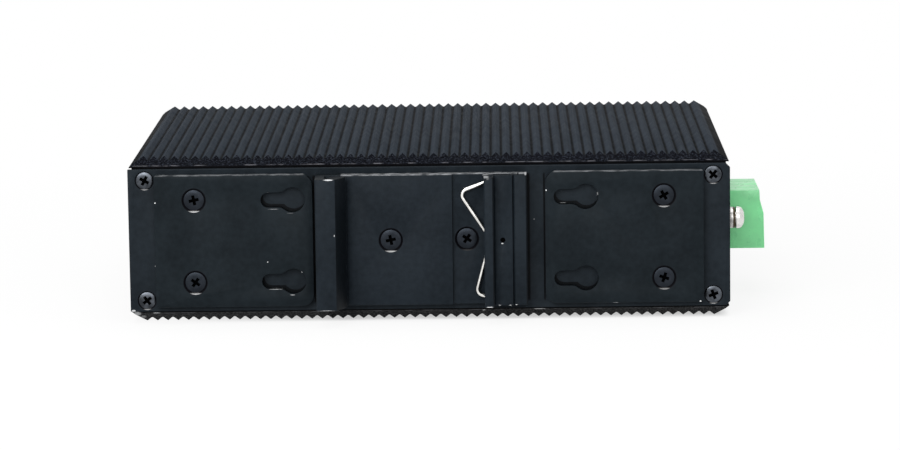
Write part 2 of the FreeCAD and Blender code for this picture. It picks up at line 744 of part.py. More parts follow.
def bracket_screws():
    screws = []
    length = BRACKET_THICK + PANEL_THICK + NUT_HEIGHT + SCREW_PAST_NUT
    for (x, z), turn in zip(bracket_screw_places(), M3_TURNS):
        screw = countersunk_screw(M3_HEAD_R, M3_HEAD_CONE, M3_SHANK_R, length, turn)
        screws.append(placed(screw, x, BRACKET_FACE, z))
    return screws


# Rail clip, drawn as (x, height above the rail seat); a height is -y

def from_heights(points):
    return [(x, -height) for x, height in points]


def hook_points():
    """Fixed hook: an outer wall, a flat lip and a sloping nose of one wall thickness."""
    slope = math.hypot(HOOK_RUN, HOOK_HEIGHT - HOOK_NOSE)
    drop = HOOK_WALL * slope / HOOK_RUN
    ceiling = HOOK_HEIGHT - HOOK_WALL
    under_x = HOOK_NOSE_X - HOOK_RUN + (HOOK_WALL - drop) * HOOK_RUN / (HOOK_HEIGHT - HOOK_NOSE)
    back_x = HOOK_LEFT + HOOK_WALL
    meet_x = HOOK_NOSE_X - (HOOK_NOSE - FLANGE_GAP) * HOOK_UNDERCUT_SHARE
    return [(HOOK_LEFT, -CLIP_PLATE), (HOOK_LEFT, HOOK_HEIGHT - EDGE_BREAK),
            (HOOK_LEFT + EDGE_BREAK, HOOK_HEIGHT), (HOOK_NOSE_X - HOOK_RUN, HOOK_HEIGHT),
            (HOOK_NOSE_X, HOOK_NOSE), (HOOK_NOSE_X, FLANGE_GAP + EDGE_BREAK), (meet_x, FLANGE_GAP),
            (max(back_x + EDGE_BREAK, under_x + HOOK_WALL * HOOK_ROOT_SHARE), FLANGE_GAP),
            (max(back_x + EDGE_BREAK, under_x), ceiling), (back_x, ceiling), (back_x, -HOOK_RELIEF),
            (HOOK_NOSE_X + HOOK_RELIEF, -HOOK_RELIEF), (HOOK_NOSE_X + HOOK_RELIEF, 0.0)]


def clip_base():
    """Extruded base: hook, rail seat, shallow recess and the tongue that the jaw grips."""
    tongue_low = -RECESS_DROP - TONGUE_THICK
    slot_x = BASE_RIGHT - tongue_length()
    points = hook_points()
    points += [(PIN_X - RECESS_FROM_PIN, 0.0), (PIN_X - RECESS_FROM_PIN, -RECESS_DROP),
               (BASE_RIGHT - LAND_WIDTH, -RECESS_DROP), (BASE_RIGHT - LAND_WIDTH, land_height()),
               (BASE_RIGHT, land_height()), (BASE_RIGHT, tongue_low), (slot_x, tongue_low),
               (slot_x, -CLIP_PLATE)]
    half = CLIP_WIDTH / 2
    body = prism_along_z(from_heights(points), -half, half)
    seat = countersink(M3_HEAD_R, M3_HEAD_CONE, M3_SHANK_R, CLIP_PLATE + OVERCUT)
    tools = [placed(seat, x, drop, z) for (x, z), drop in zip(clip_screw_places(), (0, RECESS_DROP))]
    # the land is milled away in the middle, where the spring's loop and the pin travel
    tools.append(box(BASE_RIGHT - LAND_WIDTH, BASE_RIGHT + OVERCUT, -land_height() - OVERCUT, RECESS_DROP,
                     PIN_Z - LAND_GAP / 2, PIN_Z + LAND_GAP / 2))
    slot_r = PIN_R + HOLE_CLEAR * 2
    high = RECESS_DROP - OVERCUT
    tools.append(box(PIN_X, PIN_X + SLIDER_TRAVEL, high, CLIP_PLATE, PIN_Z - slot_r, PIN_Z + slot_r))
    for x in (PIN_X, PIN_X + SLIDER_TRAVEL):
        tools.append(rod(slot_r, V(x, high, PIN_Z), V(0, 1, 0), CLIP_PLATE - high, FLAT_COUNT))
    deep = wire_y() + WIRE_LEG + HOLE_CLEAR
    for x, z in (top_spot(SPRING_TOP_END), low_spot(SPRING_LOW_END)):
        tools.append(rod(WIRE_R + WIRE_HOLE_CLEAR, V(x, 0, z), V(0, 1, 0), deep, HIDDEN_FLAT_COUNT))
    return body.cut(Part.makeCompound(tools))


def land_height():
    """The land carries the jaw's skin from below."""
    return SLIDER_FACE - SLIDER_SKIN - SLIDE_CLEAR


def tongue_length():
    """Long enough for the jaw's foot to stay under it when the jaw is pulled out."""
    return SLIDER_TRAVEL + SLIDER_STOP_WIDTH + STOP_CLEAR


def slider_points():
    """Section of the sliding jaw, a C that grips the tongue, with the raised lip at its left."""
    lip_right = SLIDER_LEFT + SLIDER_LIP_WIDTH
    band_x = SLIDER_RIGHT - SLIDER_BAND_WIDTH
    band = SLIDER_FACE - SLIDER_BAND_DROP
    stop_x = SLIDER_LEFT + RAIL_GRIP + SLIDE_CLEAR
    ceiling = SLIDER_FACE - SLIDER_SKIN
    wire_top = -wire_y() + WIRE_R + SLIDE_CLEAR
    foot_top = -RECESS_DROP - TONGUE_THICK - SLIDE_CLEAR
    foot_low = foot_top - SLIDER_FOOT
    foot_x = BASE_RIGHT - tongue_length() + STOP_CLEAR
    wall_x = SLIDER_RIGHT - SLIDER_LEG
    g = GROOVE_SIZE
    return [(SLIDER_LEFT, FLANGE_GAP), (SLIDER_LEFT, SLIDER_LIP_HEIGHT - EDGE_BREAK),
            (SLIDER_LEFT + EDGE_BREAK, SLIDER_LIP_HEIGHT), (lip_right - EDGE_BREAK, SLIDER_LIP_HEIGHT),
            (lip_right, SLIDER_LIP_HEIGHT - EDGE_BREAK), (lip_right, SLIDER_FACE - g),
            (lip_right + g, SLIDER_FACE), (band_x - g, SLIDER_FACE), (band_x, band - g),
            (band_x + g, band), (SLIDER_RIGHT - EDGE_BREAK, band), (SLIDER_RIGHT, band - EDGE_BREAK),
            (SLIDER_RIGHT, foot_low), (foot_x, foot_low), (foot_x, foot_top), (wall_x, foot_top),
            (wall_x, ceiling), (stop_x + SLIDER_STOP_WIDTH, ceiling),
            (stop_x + SLIDER_STOP_WIDTH, wire_top), (stop_x, wire_top), (stop_x, FLANGE_GAP)]


def clip_slider():
    half = CLIP_WIDTH / 2 - SLIDE_CLEAR / 2
    body = prism_along_z(from_heights(slider_points()), -half, half)
    lip_right = SLIDER_LEFT + SLIDER_LIP_WIDTH
    # the lip's upper left corner is cut off at a slant
    left = SLIDER_LEFT - OVERCUT
    above = half + OVERCUT
    corner = [(left, above), (left, half - SLIDER_LIP_CUT - SLIDER_LIP_SLANT),
              (SLIDER_LEFT, half - SLIDER_LIP_CUT), (lip_right, half), (lip_right, above)]
    tools = [prism_along_y(corner, -SLIDER_LIP_HEIGHT - OVERCUT, -SLIDER_FACE)]
    start = V(PIN_X, -SLIDER_FACE - OVERCUT, PIN_Z)
    tools.append(rod(PIN_R, start, V(0, 1, 0), SLIDER_SKIN + 2 * OVERCUT, FLAT_COUNT))
    return body.cut(Part.makeCompound(tools))


def slider_pin():
    """Pin pressed into the jaw; the middle loop of the spring pulls on it."""
    top = -SLIDER_FACE + PIN_SUNK
    low = RECESS_DROP + TONGUE_THICK - SLIDE_CLEAR
    return rod(PIN_R, V(PIN_X, top, PIN_Z), V(0, 1, 0), low - top, FLAT_COUNT)


def wire_y():
    """Height of the wire's centre line over the recess."""
    return RECESS_DROP - WIRE_R - WIRE_FLOOR_GAP


def top_spot(place):
    """A place of the wire above the pin as (x, z)."""
    return PIN_X - place[0], CLIP_WIDTH / 2 - place[1]


def low_spot(place):
    """A place of the wire below the pin as (x, z)."""
    return PIN_X - place[0], place[1] - CLIP_WIDTH / 2


def rounded_path(points, radii):
    """Points (x, z) along straight runs joined by tangent arcs, one radius for each inner corner."""
    path = [V(points[0][0], 0, points[0][1])]
    spots = [V(x, 0, z) for x, z in points]
    for before, corner, after, radius in zip(spots, spots[1:], spots[2:], radii):
        back = (before - corner).normalize()
        ahead = (after - corner).normalize()
        half_angle = back.getAngle(ahead) / 2
        entry = corner + back * (radius / math.tan(half_angle))
        leave = corner + ahead * (radius / math.tan(half_angle))
        middle = corner + (back + ahead).normalize() * (radius / math.sin(half_angle) - radius)
        steps = max(2, int(math.ceil((math.pi - 2 * half_angle) / WIRE_STEP)))
        path += Part.Arc(entry, middle, leave).toShape().discretize(steps + 1)
    path.append(spots[-1])
    return path


def spring_path():
    """Centre line of the wire: end leg, upper bow, loop round the pin, lower bow, end leg."""
    loop_r = PIN_R + WIRE_LOOP_CLEAR + WIRE_R
    top = (PIN_X, PIN_Z + loop_r)
    low = (PIN_X, PIN_Z - loop_r)
    upper = [top_spot(SPRING_TOP_END), top_spot(SPRING_TOP_BOW), (PIN_X - SPRING_TOP_NECK, top[1]), top]
    lower = [low, (PIN_X - SPRING_LOW_NECK, low[1]), low_spot(SPRING_LOW_BOW), low_spot(SPRING_LOW_END)]
    bends = (WIRE_BEND_R, WIRE_BEND_R)
    loop = Part.Arc(V(top[0], 0, top[1]), V(PIN_X + loop_r, 0, PIN_Z), V(low[0], 0, low[1])).toShape()
    steps = int(math.ceil(math.pi / WIRE_STEP))
    return rounded_path(upper, bends)[:-1] + loop.discretize(steps + 1) + rounded_path(lower, bends)[1:]


def clip_spring():
    """Bent wire: rings of flats mitred along the path, with two legs that stand in the base."""
    y = wire_y()
    path = spring_path()
    rings = []
    for index, spot in enumerate(path):
        back = (spot - path[max(index - 1, 0)])
        ahead = (path[min(index + 1, len(path) - 1)] - spot)
        back = (back if back.Length > 0 else ahead).normalize()
        ahead = (ahead if ahead.Length > 0 else back).normalize()
        along = (back + ahead).normalize()
        mitre = 1 / along.dot(back)
        across = V(along.z, 0, -along.x) * (WIRE_R * mitre)
        ring = []
        for turn in [2 * math.pi * (flat + 0.5) / WIRE_FLAT_COUNT for flat in range(WIRE_FLAT_COUNT)]:
            ring.append(spot + across * math.cos(turn) + V(0, y + WIRE_R * math.sin(turn), 0))
        rings.append(ring)
    body = skinned(rings)
    legs = []
    for x, z in (top_spot(SPRING_TOP_END), low_spot(SPRING_LOW_END)):
        top = y - WIRE_R / 2
        legs.append(rod(WIRE_R, V(x, top, z), V(0, 1, 0), y + WIRE_LEG - top, HIDDEN_FLAT_COUNT))
    return body.fuse(legs).removeSplitter()


def clip_screws():
    screws = []
    for (x, z), drop, turn in zip(clip_screw_places(), (0, RECESS_DROP), M3_TURNS):
        length = CLIP_PLATE - drop + PANEL_THICK + NUT_HEIGHT + SCREW_PAST_NUT
        screw = countersunk_screw(M3_HEAD_R, M3_HEAD_CONE, M3_SHANK_R, length, turn)
        screws.append(placed(screw, x, drop, z))
    return screws


# Board and what stands on it

def board_outline():
    left = -CASE_LENGTH / 2 + END_INSET + END_THICK + BOARD_LEFT_GAP
    right = END_IN - BOARD_RIGHT_GAP
    return left, right, COVER_START + BOARD_REAR_GAP, COVER_END - END_THICK - BOARD_FRONT_GAP


def standoff_places():
    """Places of the board's feet, beyond both ends of the row of port transformers."""
    _, _, rear, front = board_outline()
    half = TRANSFORMER[0] / 2
    ports = port_places()
    xs = (ports[0] - half - STANDOFF_LEFT_GAP, ports[-1] + half + STANDOFF_RIGHT_GAP)
    ys = (rear + STANDOFF_INSET_Y, front - JACK_DEPTH - STANDOFF_INSET_Y)
    return [(x, y) for x in xs for y in ys]


def header_pin_places():
    return [PLUG_START_Y + (index + 0.5) * POLE_PITCH for index in range(POLES)]


def main_board():
    left, right, rear, front = board_outline()
    board = box(left, right, rear, front, BOARD_UNDER, BOARD_TOP)
    tools = []
    low, high = BOARD_UNDER - OVERCUT, BOARD_TOP + OVERCUT
    hole_r = BOARD_SCREW_SHANK_R + HOLE_CLEAR
    for x, y in standoff_places():
        tools.append(rod(hole_r, V(x, y, low), V(0, 0, 1), high - low, HIDDEN_FLAT_COUNT))
    half = HEADER_PIN / 2 + PIN_HOLE_CLEAR
    x = header_tail_x()
    for y in header_pin_places():
        tools.append(box(x - half, x + half, y - half, y + half, low, high))
    return board.cut(Part.makeCompound(tools))


def board_standoffs():
    posts = []
    for x, y in standoff_places():
        foot = V(x, y, -INNER_Z)
        post = rod(STANDOFF_R, foot, V(0, 0, 1), BOARD_LIFT, STANDOFF_FLAT_COUNT)
        bore = rod(STANDOFF_BORE_R, foot, V(0, 0, 1), BOARD_LIFT + OVERCUT, HIDDEN_FLAT_COUNT)
        posts.append(post.cut(bore))
    return posts


def board_screws():
    screws = []
    for x, y in standoff_places():
        head = rod(BOARD_SCREW_HEAD_R, V(x, y, BOARD_TOP), V(0, 0, 1), BOARD_SCREW_HEAD, HIDDEN_FLAT_COUNT)
        reach = BOARD_THICK + BOARD_SCREW_REACH
        shank = rod(BOARD_SCREW_SHANK_R, V(x, y, BOARD_TOP - reach), V(0, 0, 1), reach, HIDDEN_FLAT_COUNT)
        screws.append(head.fuse(shank).removeSplitter())
    return screws


def jack_shield(x):
    """Drawn metal can round one jack, open in front."""
    half = JACK_WIDTH / 2
    outer = box(x - half, x + half, JACK_BACK, JACK_FRONT, BOARD_TOP, BOARD_TOP + JACK_HEIGHT)
    s = JACK_SKIN
    inner = box(x - half + s, x + half - s, JACK_BACK + s, JACK_FRONT + OVERCUT,
                BOARD_TOP + s, BOARD_TOP + JACK_HEIGHT - s)
    return outer.cut(inner)


def jack_insert(x):
    """Moulded body of one jack with the stepped cavity that the cable's plug and latch enter."""
    s = JACK_SKIN
    half = JACK_WIDTH / 2 - s
    body = box(x - half, x + half, JACK_BACK + s, JACK_FRONT - s, BOARD_TOP + s, BOARD_TOP + JACK_HEIGHT - s)
    back = JACK_FRONT - PLUG_DEPTH
    latch_z = CAVITY_Z - LATCH_HEIGHT
    steps = [(PLUG_WIDTH, CAVITY_Z, CAVITY_Z + PLUG_HEIGHT), (LATCH_WIDTH, latch_z, CAVITY_Z),
             (LATCH_KEY_WIDTH, latch_z - LATCH_KEY_HEIGHT, latch_z)]
    mouth = JACK_FRONT + OVERCUT
    tools = [box(x - wide / 2, x + wide / 2, back, mouth, low, high) for wide, low, high in steps]
    cavity = tools[0].fuse(tools[1:]).removeSplitter()
    return body.cut(Part.makeCompound([cavity] + jack_light_boxes(x, 0)))


def jack_contacts(x):
    """Eight sloping spring contacts under the roof of one cavity."""
    roof = CAVITY_Z + PLUG_HEIGHT
    back = JACK_FRONT - PLUG_DEPTH
    wires = []
    for index in range(CONTACTS):
        cx = x + (index - (CONTACTS - 1) / 2) * CONTACT_PITCH
        outline = [(back, roof - CONTACT_DROP), (back, roof - CONTACT_DROP - CONTACT_SIZE),
                   (back + CONTACT_RUN, roof - CONTACT_SIZE), (back + CONTACT_RUN, roof)]
        wires.append(prism_along_x(outline, cx - CONTACT_SIZE / 2, cx + CONTACT_SIZE / 2))
    return wires


def jack_lights():
    return [light for x in port_places() for light in jack_light_boxes(x, 0)]


def status_light_pipes():
    """Light pipes: a round head in the front panel and a stem down to the board."""
    pipes = []
    back = COVER_END - LIGHT_BACK - LIGHT_STEM
    half = LIGHT_STEM / 2
    z = status_z()
    for x in status_places():
        head = rod(LIGHT_R, V(x, back, z), V(0, 1, 0), FRONT_FACE + LIGHT_PROUD - back, FLAT_COUNT)
        stem = box(x - half, x + half, back, back + LIGHT_STEM, BOARD_TOP, z)
        pipes.append(head.fuse(stem).removeSplitter())
    return pipes


# Supply terminals

def header_height():
    return BOARD_TOP, TONGUE_Z + PLUG_TONGUE_HEIGHT + PLUG_SIDE_CLEAR + HEADER_WALL


def header_back_x():
    return PLUG_X - PLUG_TONGUE - HEADER_BACK


def header_tail_x():
    return header_back_x() - HEADER_PIN


def terminal_header():
    low, high = header_height()
    mouth = END_OUT - HEADER_MOUTH_GAP
    c = PLUG_SIDE_CLEAR
    y0, y1 = PLUG_START_Y, PLUG_START_Y + PLUG_LONG
    wall = HEADER_WALL - WINDOW_CLEAR
    body = box(header_back_x(), mouth, y0 - wall, y1 + wall, low, high)
    cavity = box(PLUG_X - PLUG_TONGUE - c, mouth + OVERCUT, y0, y1,
                 TONGUE_Z - c, TONGUE_Z + PLUG_TONGUE_HEIGHT + c)
    tools = [cavity]
    z = BOARD_TOP + HEADER_PIN_Z
    half = HEADER_PIN / 2
    for y in header_pin_places():
        tools.append(box(header_back_x() - OVERCUT, PLUG_X, y - half, y + half, z - half, z + half))
    return body.cut(Part.makeCompound(tools))


def header_pins():
    """Bent square pins: one end in the plug, the other through the board."""
    pins = []
    half = HEADER_PIN / 2
    z = BOARD_TOP + HEADER_PIN_Z
    reach = PLUG_X - CLAMP_HEAD
    tail = header_tail_x()
    for y in header_pin_places():
        level = box(tail - half, reach, y - half, y + half, z - half, z + half)
        drop = box(tail - half, tail + half, y - half, y + half, BOARD_UNDER - HEADER_PIN_TAIL, z)
        pins.append(level.fuse(drop).removeSplitter())
    return pins


def cage_box(y, grow):
    """Room of one wire clamp inside the plug."""
    half = POLE_PITCH / 2 - CAGE_WALL - CAGE_SIDE_GAP + grow
    x0 = PLUG_X + CAGE_IN
    z = entry_z()
    tall = ENTRY_HEIGHT / 2 + CAGE_WALL + grow
    return box(x0 - grow, x0 + CAGE_LENGTH + grow, y - half, y + half, z - tall, z + tall)


def entry_z():
    return BOARD_TOP + HEADER_PIN_Z


def clamp_x():
    """Middle of the wire clamps and of their screws."""
    return PLUG_X + CAGE_IN + CAGE_LENGTH / 2


def terminal_plug():
    """Plug with a stepped, sloping outer face, a tongue for the header and a hole for each wire."""
    y0, y1 = PLUG_START_Y, PLUG_START_Y + PLUG_LONG
    right = PLUG_X + PLUG_OUT - PLUG_WALL_GAP
    top = PLUG_BASE_Z + PLUG_TALL
    outline = [(PLUG_X, PLUG_BASE_Z), (right, PLUG_BASE_Z),
               (right - PLUG_FACE_DRAFT, PLUG_BASE_Z + PLUG_SLOPE_LOW),
               (right - PLUG_TOP_SETBACK, PLUG_BASE_Z + PLUG_SLOPE_HIGH),
               (right - PLUG_TOP_SETBACK - PLUG_TOP_DRAFT, top), (PLUG_X, top)]
    body = prism_along_y(outline, y0, y1)
    c = PLUG_SIDE_CLEAR
    tongue = box(PLUG_X - PLUG_TONGUE, PLUG_X + CAGE_IN, y0 + c, y1 - c,
                 TONGUE_Z, TONGUE_Z + PLUG_TONGUE_HEIGHT)
    body = body.fuse(tongue).removeSplitter()
    tools = []
    z = entry_z()
    wide, tall = ENTRY_WIDTH / 2, ENTRY_HEIGHT / 2
    pin = HEADER_PIN / 2 + PIN_HOLE_CLEAR
    well_r = CLAMP_HEAD_R + HOLE_CLEAR
    for y in header_pin_places():
        tools.append(box(right - ENTRY_DEPTH, right + OVERCUT, y - wide, y + wide, z - tall, z + tall))
        tools.append(cage_box(y, HOLE_CLEAR))
        mouth = V(clamp_x(), y, PLUG_BASE_Z - OVERCUT)
        tools.append(rod(well_r, mouth, V(0, 0, 1), z - PLUG_BASE_Z, FLAT_COUNT))
        inner = PLUG_X - PLUG_TONGUE - OVERCUT
        tools.append(box(inner, PLUG_X + CAGE_IN, y - pin, y + pin, z - pin, z + pin))
    return body.cut(Part.makeCompound(tools))


def clamp_cages():
    """Square sleeves that draw each wire up against the contact."""
    cages = []
    z = entry_z()
    for y in header_pin_places():
        half = POLE_PITCH / 2 - 2 * CAGE_WALL - CAGE_SIDE_GAP
        hole = box(PLUG_X, PLUG_X + CAGE_IN + CAGE_LENGTH + OVERCUT, y - half, y + half,
                   z - ENTRY_HEIGHT / 2, z + ENTRY_HEIGHT / 2)
        bore_r = CLAMP_SHANK_R + NUT_BORE_CLEAR
        thread = rod(bore_r, V(clamp_x(), y, PLUG_BASE_Z), V(0, 0, 1), z - PLUG_BASE_Z, HIDDEN_FLAT_COUNT)
        cages.append(cage_box(y, 0).cut(hole).cut(thread))
    return cages


def clamp_screws():
    """Slotted clamp screws, reached from the underside of the plug."""
    screws = []
    x = clamp_x()
    low = PLUG_BASE_Z + CLAMP_SUNK
    reach = entry_z() - ENTRY_HEIGHT / 4 - low
    wide = CLAMP_HEAD_R + OVERCUT
    for y in header_pin_places():
        head = rod(CLAMP_HEAD_R, V(x, y, low), V(0, 0, 1), CLAMP_HEAD, FLAT_COUNT)
        shank = rod(CLAMP_SHANK_R, V(x, y, low), V(0, 0, 1), reach, HIDDEN_FLAT_COUNT)
        slot = box(x - wide, x + wide, y - CLAMP_SLOT / 2, y + CLAMP_SLOT / 2,
                   low - OVERCUT, low + CLAMP_HEAD / 2)
        screws.append(head.fuse(shank).cut(slot).removeSplitter())
    return screws


# Ground point, built along +X from the outer face of the right end panel

def ring(inner_r, outer_r, thick, x):
    start = V(x, GROUND_Y, GROUND_Z)
    disc = rod(outer_r, start, V(1, 0, 0), thick, FLAT_COUNT)
    hole = rod(inner_r, start - V(OVERCUT, 0, 0), V(1, 0, 0), thick + 2 * OVERCUT, FLAT_COUNT)
    return disc.cut(hole)


def washer_bore():
    return M3_SHANK_R + HOLE_CLEAR


def toothed_washer():
    """Washer with outer teeth that bite the panel."""
    thick = TOOTH_WASHER_THICK
    core = ring(washer_bore(), TOOTH_WASHER_R - TOOTH_WASHER_REACH, thick / 2, END_OUT + thick / 4)
    teeth = []
    half = TOOTH_WASHER_WIDTH / 2
    root = GROUND_Z + TOOTH_WASHER_R - TOOTH_WASHER_ROOT
    for index in range(TOOTH_WASHER_COUNT):
        tooth = box(END_OUT, END_OUT + thick, GROUND_Y - half, GROUND_Y + half,
                    root, GROUND_Z + TOOTH_WASHER_R)
        tooth.rotate(V(END_OUT, GROUND_Y, GROUND_Z), V(1, 0, 0), 360 * index / TOOTH_WASHER_COUNT)
        teeth.append(tooth)
    return core.fuse(teeth).removeSplitter()


def flat_washer():
    return ring(washer_bore(), FLAT_WASHER_R, FLAT_WASHER_THICK, END_OUT + TOOTH_WASHER_THICK)


def spring_washer():
    """Split washer, one open turn of square wire that rises as it goes round."""
    start = END_OUT + TOOTH_WASHER_THICK + FLAT_WASHER_THICK
    inner, outer = washer_bore(), SPRING_WASHER_R
    sections = []
    for index in range(FLAT_COUNT):
        turn = 2 * math.pi * (index + 0.5) / FLAT_COUNT
        rise = start + SPRING_WASHER_RISE * index / (FLAT_COUNT - 1)
        section = [(inner, 0), (outer, 0), (outer, SPRING_WASHER_THICK), (inner, SPRING_WASHER_THICK)]
        sections.append([V(rise + up, GROUND_Y + r * math.cos(turn), GROUND_Z + r * math.sin(turn))
                         for r, up in section])
    return skinned(sections)


def ground_screw():
    """Pan head screw that clamps the earth lead's tag."""
    seat = END_OUT + TOOTH_WASHER_THICK + FLAT_WASHER_THICK + SPRING_WASHER_THICK + SPRING_WASHER_RISE
    dome = PAN_HEAD * PAN_DOME_SHARE
    head = turned([(PAN_HEAD_R, 0), (PAN_HEAD_R, PAN_HEAD - dome), (PAN_HEAD_R - dome, PAN_HEAD)], FLAT_COUNT)
    body = head.fuse(turned([(M3_SHANK_R, -GROUND_LENGTH), (M3_SHANK_R, 0)], FLAT_COUNT)).removeSplitter()
    cross = cross_recess(PAN_HEAD_R * CROSS_SPREAD, CROSS_DEPTH)
    cross.rotate(V(0, 0, 0), V(0, 0, 1), 180)
    cross.translate(V(0, PAN_HEAD, 0))
    body = body.cut(cross)
    body.rotate(V(0, 0, 0), V(0, 0, 1), -90)
    return placed(body, seat, GROUND_Y, GROUND_Z)


# Components

def block_on_board(x, y, size):
    sx, sy, sz = size
    return box(x - sx / 2, x + sx / 2, y - sy / 2, y + sy / 2, BOARD_TOP, BOARD_TOP + sz)


def block_under_board(half, low, high):
    y = JACK_BACK - CHIP_BEHIND_JACKS
    return box(CHIP_X - half, CHIP_X + half, y - half, y + half, low, high)


def switch_chip():
    """Main chip under the board, facing the lower cover."""
    return block_under_board(CHIP_SIZE / 2, BOARD_UNDER - CHIP_THICK, BOARD_UNDER)


def thermal_pad():
    """Soft pad that carries the chip's heat into the lower cover."""
    return block_under_board(CHIP_SIZE / 2 - PAD_INSET, -INNER_Z, BOARD_UNDER - CHIP_THICK)


def port_transformers():
    y = TRANSFORMER_REAR + TRANSFORMER[1] / 2
    return [block_on_board(x, y, TRANSFORMER) for x in port_places()]


def power_block_place():
    """Middle of the isolating transformer, beside the terminal header and behind the ports."""
    x = header_tail_x() - HEADER_PIN / 2 - POWER_HEADER_GAP - POWER_BLOCK[0] / 2
    return x, TRANSFORMER_REAR - POWER_BLOCK_GAP - POWER_BLOCK[1] / 2


def power_controllers():
    last = power_block_place()[0] - POWER_BLOCK[0] / 2 - CONTROLLER_GAP - CONTROLLER[0] / 2
    y = TRANSFORMER_REAR - CONTROLLER_BACK
    return [block_on_board(x, y, CONTROLLER) for x in (last - CONTROLLER_PITCH, last)]


def power_transformer():
    """Isolating transformer: a core round a wider winding."""
    sx, sy, sz = POWER_BLOCK
    x, y = power_block_place()
    core = block_on_board(x, y, (sx, sy * CORE_DEPTH_SHARE, sz))
    winding = block_on_board(x, y, (sx * WINDING_WIDTH_SHARE, sy, sz * WINDING_HEIGHT_SHARE))
    return core.fuse(winding).removeSplitter()


def row_places():
    """Middles along Y of the row of capacitors and of the row of inductors in front of it."""
    start = board_outline()[2] + STANDOFF_INSET_Y + STANDOFF_R
    spare = TRANSFORMER_REAR - start - 2 * CAPACITOR_R - INDUCTOR[1]
    before = spare * ROW_GAPS[0] / sum(ROW_GAPS)
    after = spare * ROW_GAPS[-1] / sum(ROW_GAPS)
    return start + before + CAPACITOR_R, TRANSFORMER_REAR - after - INDUCTOR[1] / 2


def row_starts():
    """First place along X of both rows."""
    return board_outline()[0] + ROW_INSET


def power_inductors():
    blocks = []
    for index in range(ROW_COUNT):
        block = block_on_board(row_starts() + index * INDUCTOR_PITCH, row_places()[1], INDUCTOR)
        upright = []
        for edge in block.Edges:
            first, last = edge.Vertexes[0].Point, edge.Vertexes[-1].Point
            if abs(first.x - last.x) < NEAR and abs(first.y - last.y) < NEAR:
                upright.append(edge)
        blocks.append(block.makeChamfer(INDUCTOR_CORNER, upright))
    return blocks


def bulk_capacitors():
    cans = []
    slim = CAPACITOR_R - CAPACITOR_EDGE
    profile = [(CAPACITOR_R, 0), (CAPACITOR_R, CAPACITOR_TALL - CAPACITOR_EDGE), (slim, CAPACITOR_TALL)]
    places = [(row_starts() + index * CAPACITOR_PITCH, row_places()[0]) for index in range(ROW_COUNT)]
    block_x, block_y = power_block_place()
    rear = block_y - POWER_BLOCK[1] / 2
    places.append((block_x + OUTPUT_CAPACITOR_ASIDE, rear - OUTPUT_CAPACITOR_GAP - CAPACITOR_R))
    for x, y in places:
        can = turned(profile, FLAT_COUNT)
        can.rotate(V(0, 0, 0), V(1, 0, 0), 90)
        cans.append(placed(can, x, y, BOARD_TOP))
    return cans


def build():
    cover = upper_cover()
    save("upper_cover", cover)
    save("lower_cover", mirrored_z(cover))
    save("rear_panel", rear_panel())
    save("front_panel", front_panel())
    save("left_end_panel", end_panel(-1))
    save("right_end_panel", right_end_panel())
    save("rear_corner_screws", rear_corner_screws())
    save("front_corner_screws", front_corner_screws())
    save("clinch_nuts", clinch_nuts())
    save("left_wall_bracket", wall_bracket(-1))
    save("right_wall_bracket", wall_bracket(1))
    save("bracket_screws", bracket_screws())
    save("rail_clip_base", clip_base())
    save("rail_clip_screws", clip_screws())
    save("rail_clip_slider", clip_slider())
    save("rail_clip_pin", slider_pin())
    save("rail_clip_spring", clip_spring())
    save("main_board", main_board())
    save("board_standoffs", board_standoffs())
    save("board_screws", board_screws())
    for number, x in enumerate(port_places(), start=1):
        save("port_%d_shield" % number, jack_shield(x))
        save("port_%d_insert" % number, jack_insert(x))
        save("port_%d_contacts" % number, jack_contacts(x))
    save("jack_lights", jack_lights())
    save("status_light_pipes", status_light_pipes())
    save("terminal_header", terminal_header())
    save("terminal_header_pins", header_pins())
    save("terminal_plug", terminal_plug())
    save("terminal_clamp_cages", clamp_cages())
    save("terminal_clamp_screws", clamp_screws())
    save("ground_nut", ground_nut())
    save("ground_toothed_washer", toothed_washer())
    save("ground_flat_washer", flat_washer())
    save("ground_spring_washer", spring_washer())
    save("ground_screw", ground_screw())
    save("switch_chip", switch_chip())
    save("thermal_pad", thermal_pad())
    save("port_transformers", port_transformers())
    save("power_controllers", power_controllers())
    save("power_transformer", power_transformer())
    save("power_inductors", power_inductors())
    save("bulk_capacitors", bulk_capacitors())


os.makedirs("parts", exist_ok=True)
build()
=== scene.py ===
import logging
import math
from contextlib import contextmanager
from dataclasses import dataclass
from enum import Enum
from typing import Callable, Iterator, Sequence

import bpy
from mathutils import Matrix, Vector


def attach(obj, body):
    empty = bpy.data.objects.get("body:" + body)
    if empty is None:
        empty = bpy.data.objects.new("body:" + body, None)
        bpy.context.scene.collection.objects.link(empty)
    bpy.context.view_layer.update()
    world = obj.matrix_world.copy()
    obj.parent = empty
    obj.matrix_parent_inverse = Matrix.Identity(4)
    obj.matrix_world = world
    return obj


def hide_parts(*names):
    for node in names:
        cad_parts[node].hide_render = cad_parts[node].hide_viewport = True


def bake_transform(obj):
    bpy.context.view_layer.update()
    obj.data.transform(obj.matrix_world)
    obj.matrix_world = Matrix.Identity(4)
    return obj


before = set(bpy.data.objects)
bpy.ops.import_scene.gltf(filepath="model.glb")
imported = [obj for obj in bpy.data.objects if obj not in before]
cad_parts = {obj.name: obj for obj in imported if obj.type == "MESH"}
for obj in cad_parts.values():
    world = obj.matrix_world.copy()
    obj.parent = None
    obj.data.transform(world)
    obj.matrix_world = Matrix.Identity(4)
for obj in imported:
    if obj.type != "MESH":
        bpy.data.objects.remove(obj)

MM = 0.001
log = logging.getLogger("network_switch")

Spot = tuple[float, float]
Triple = tuple[float, float, float]
Rgb = Triple
Piece = bpy.types.Object

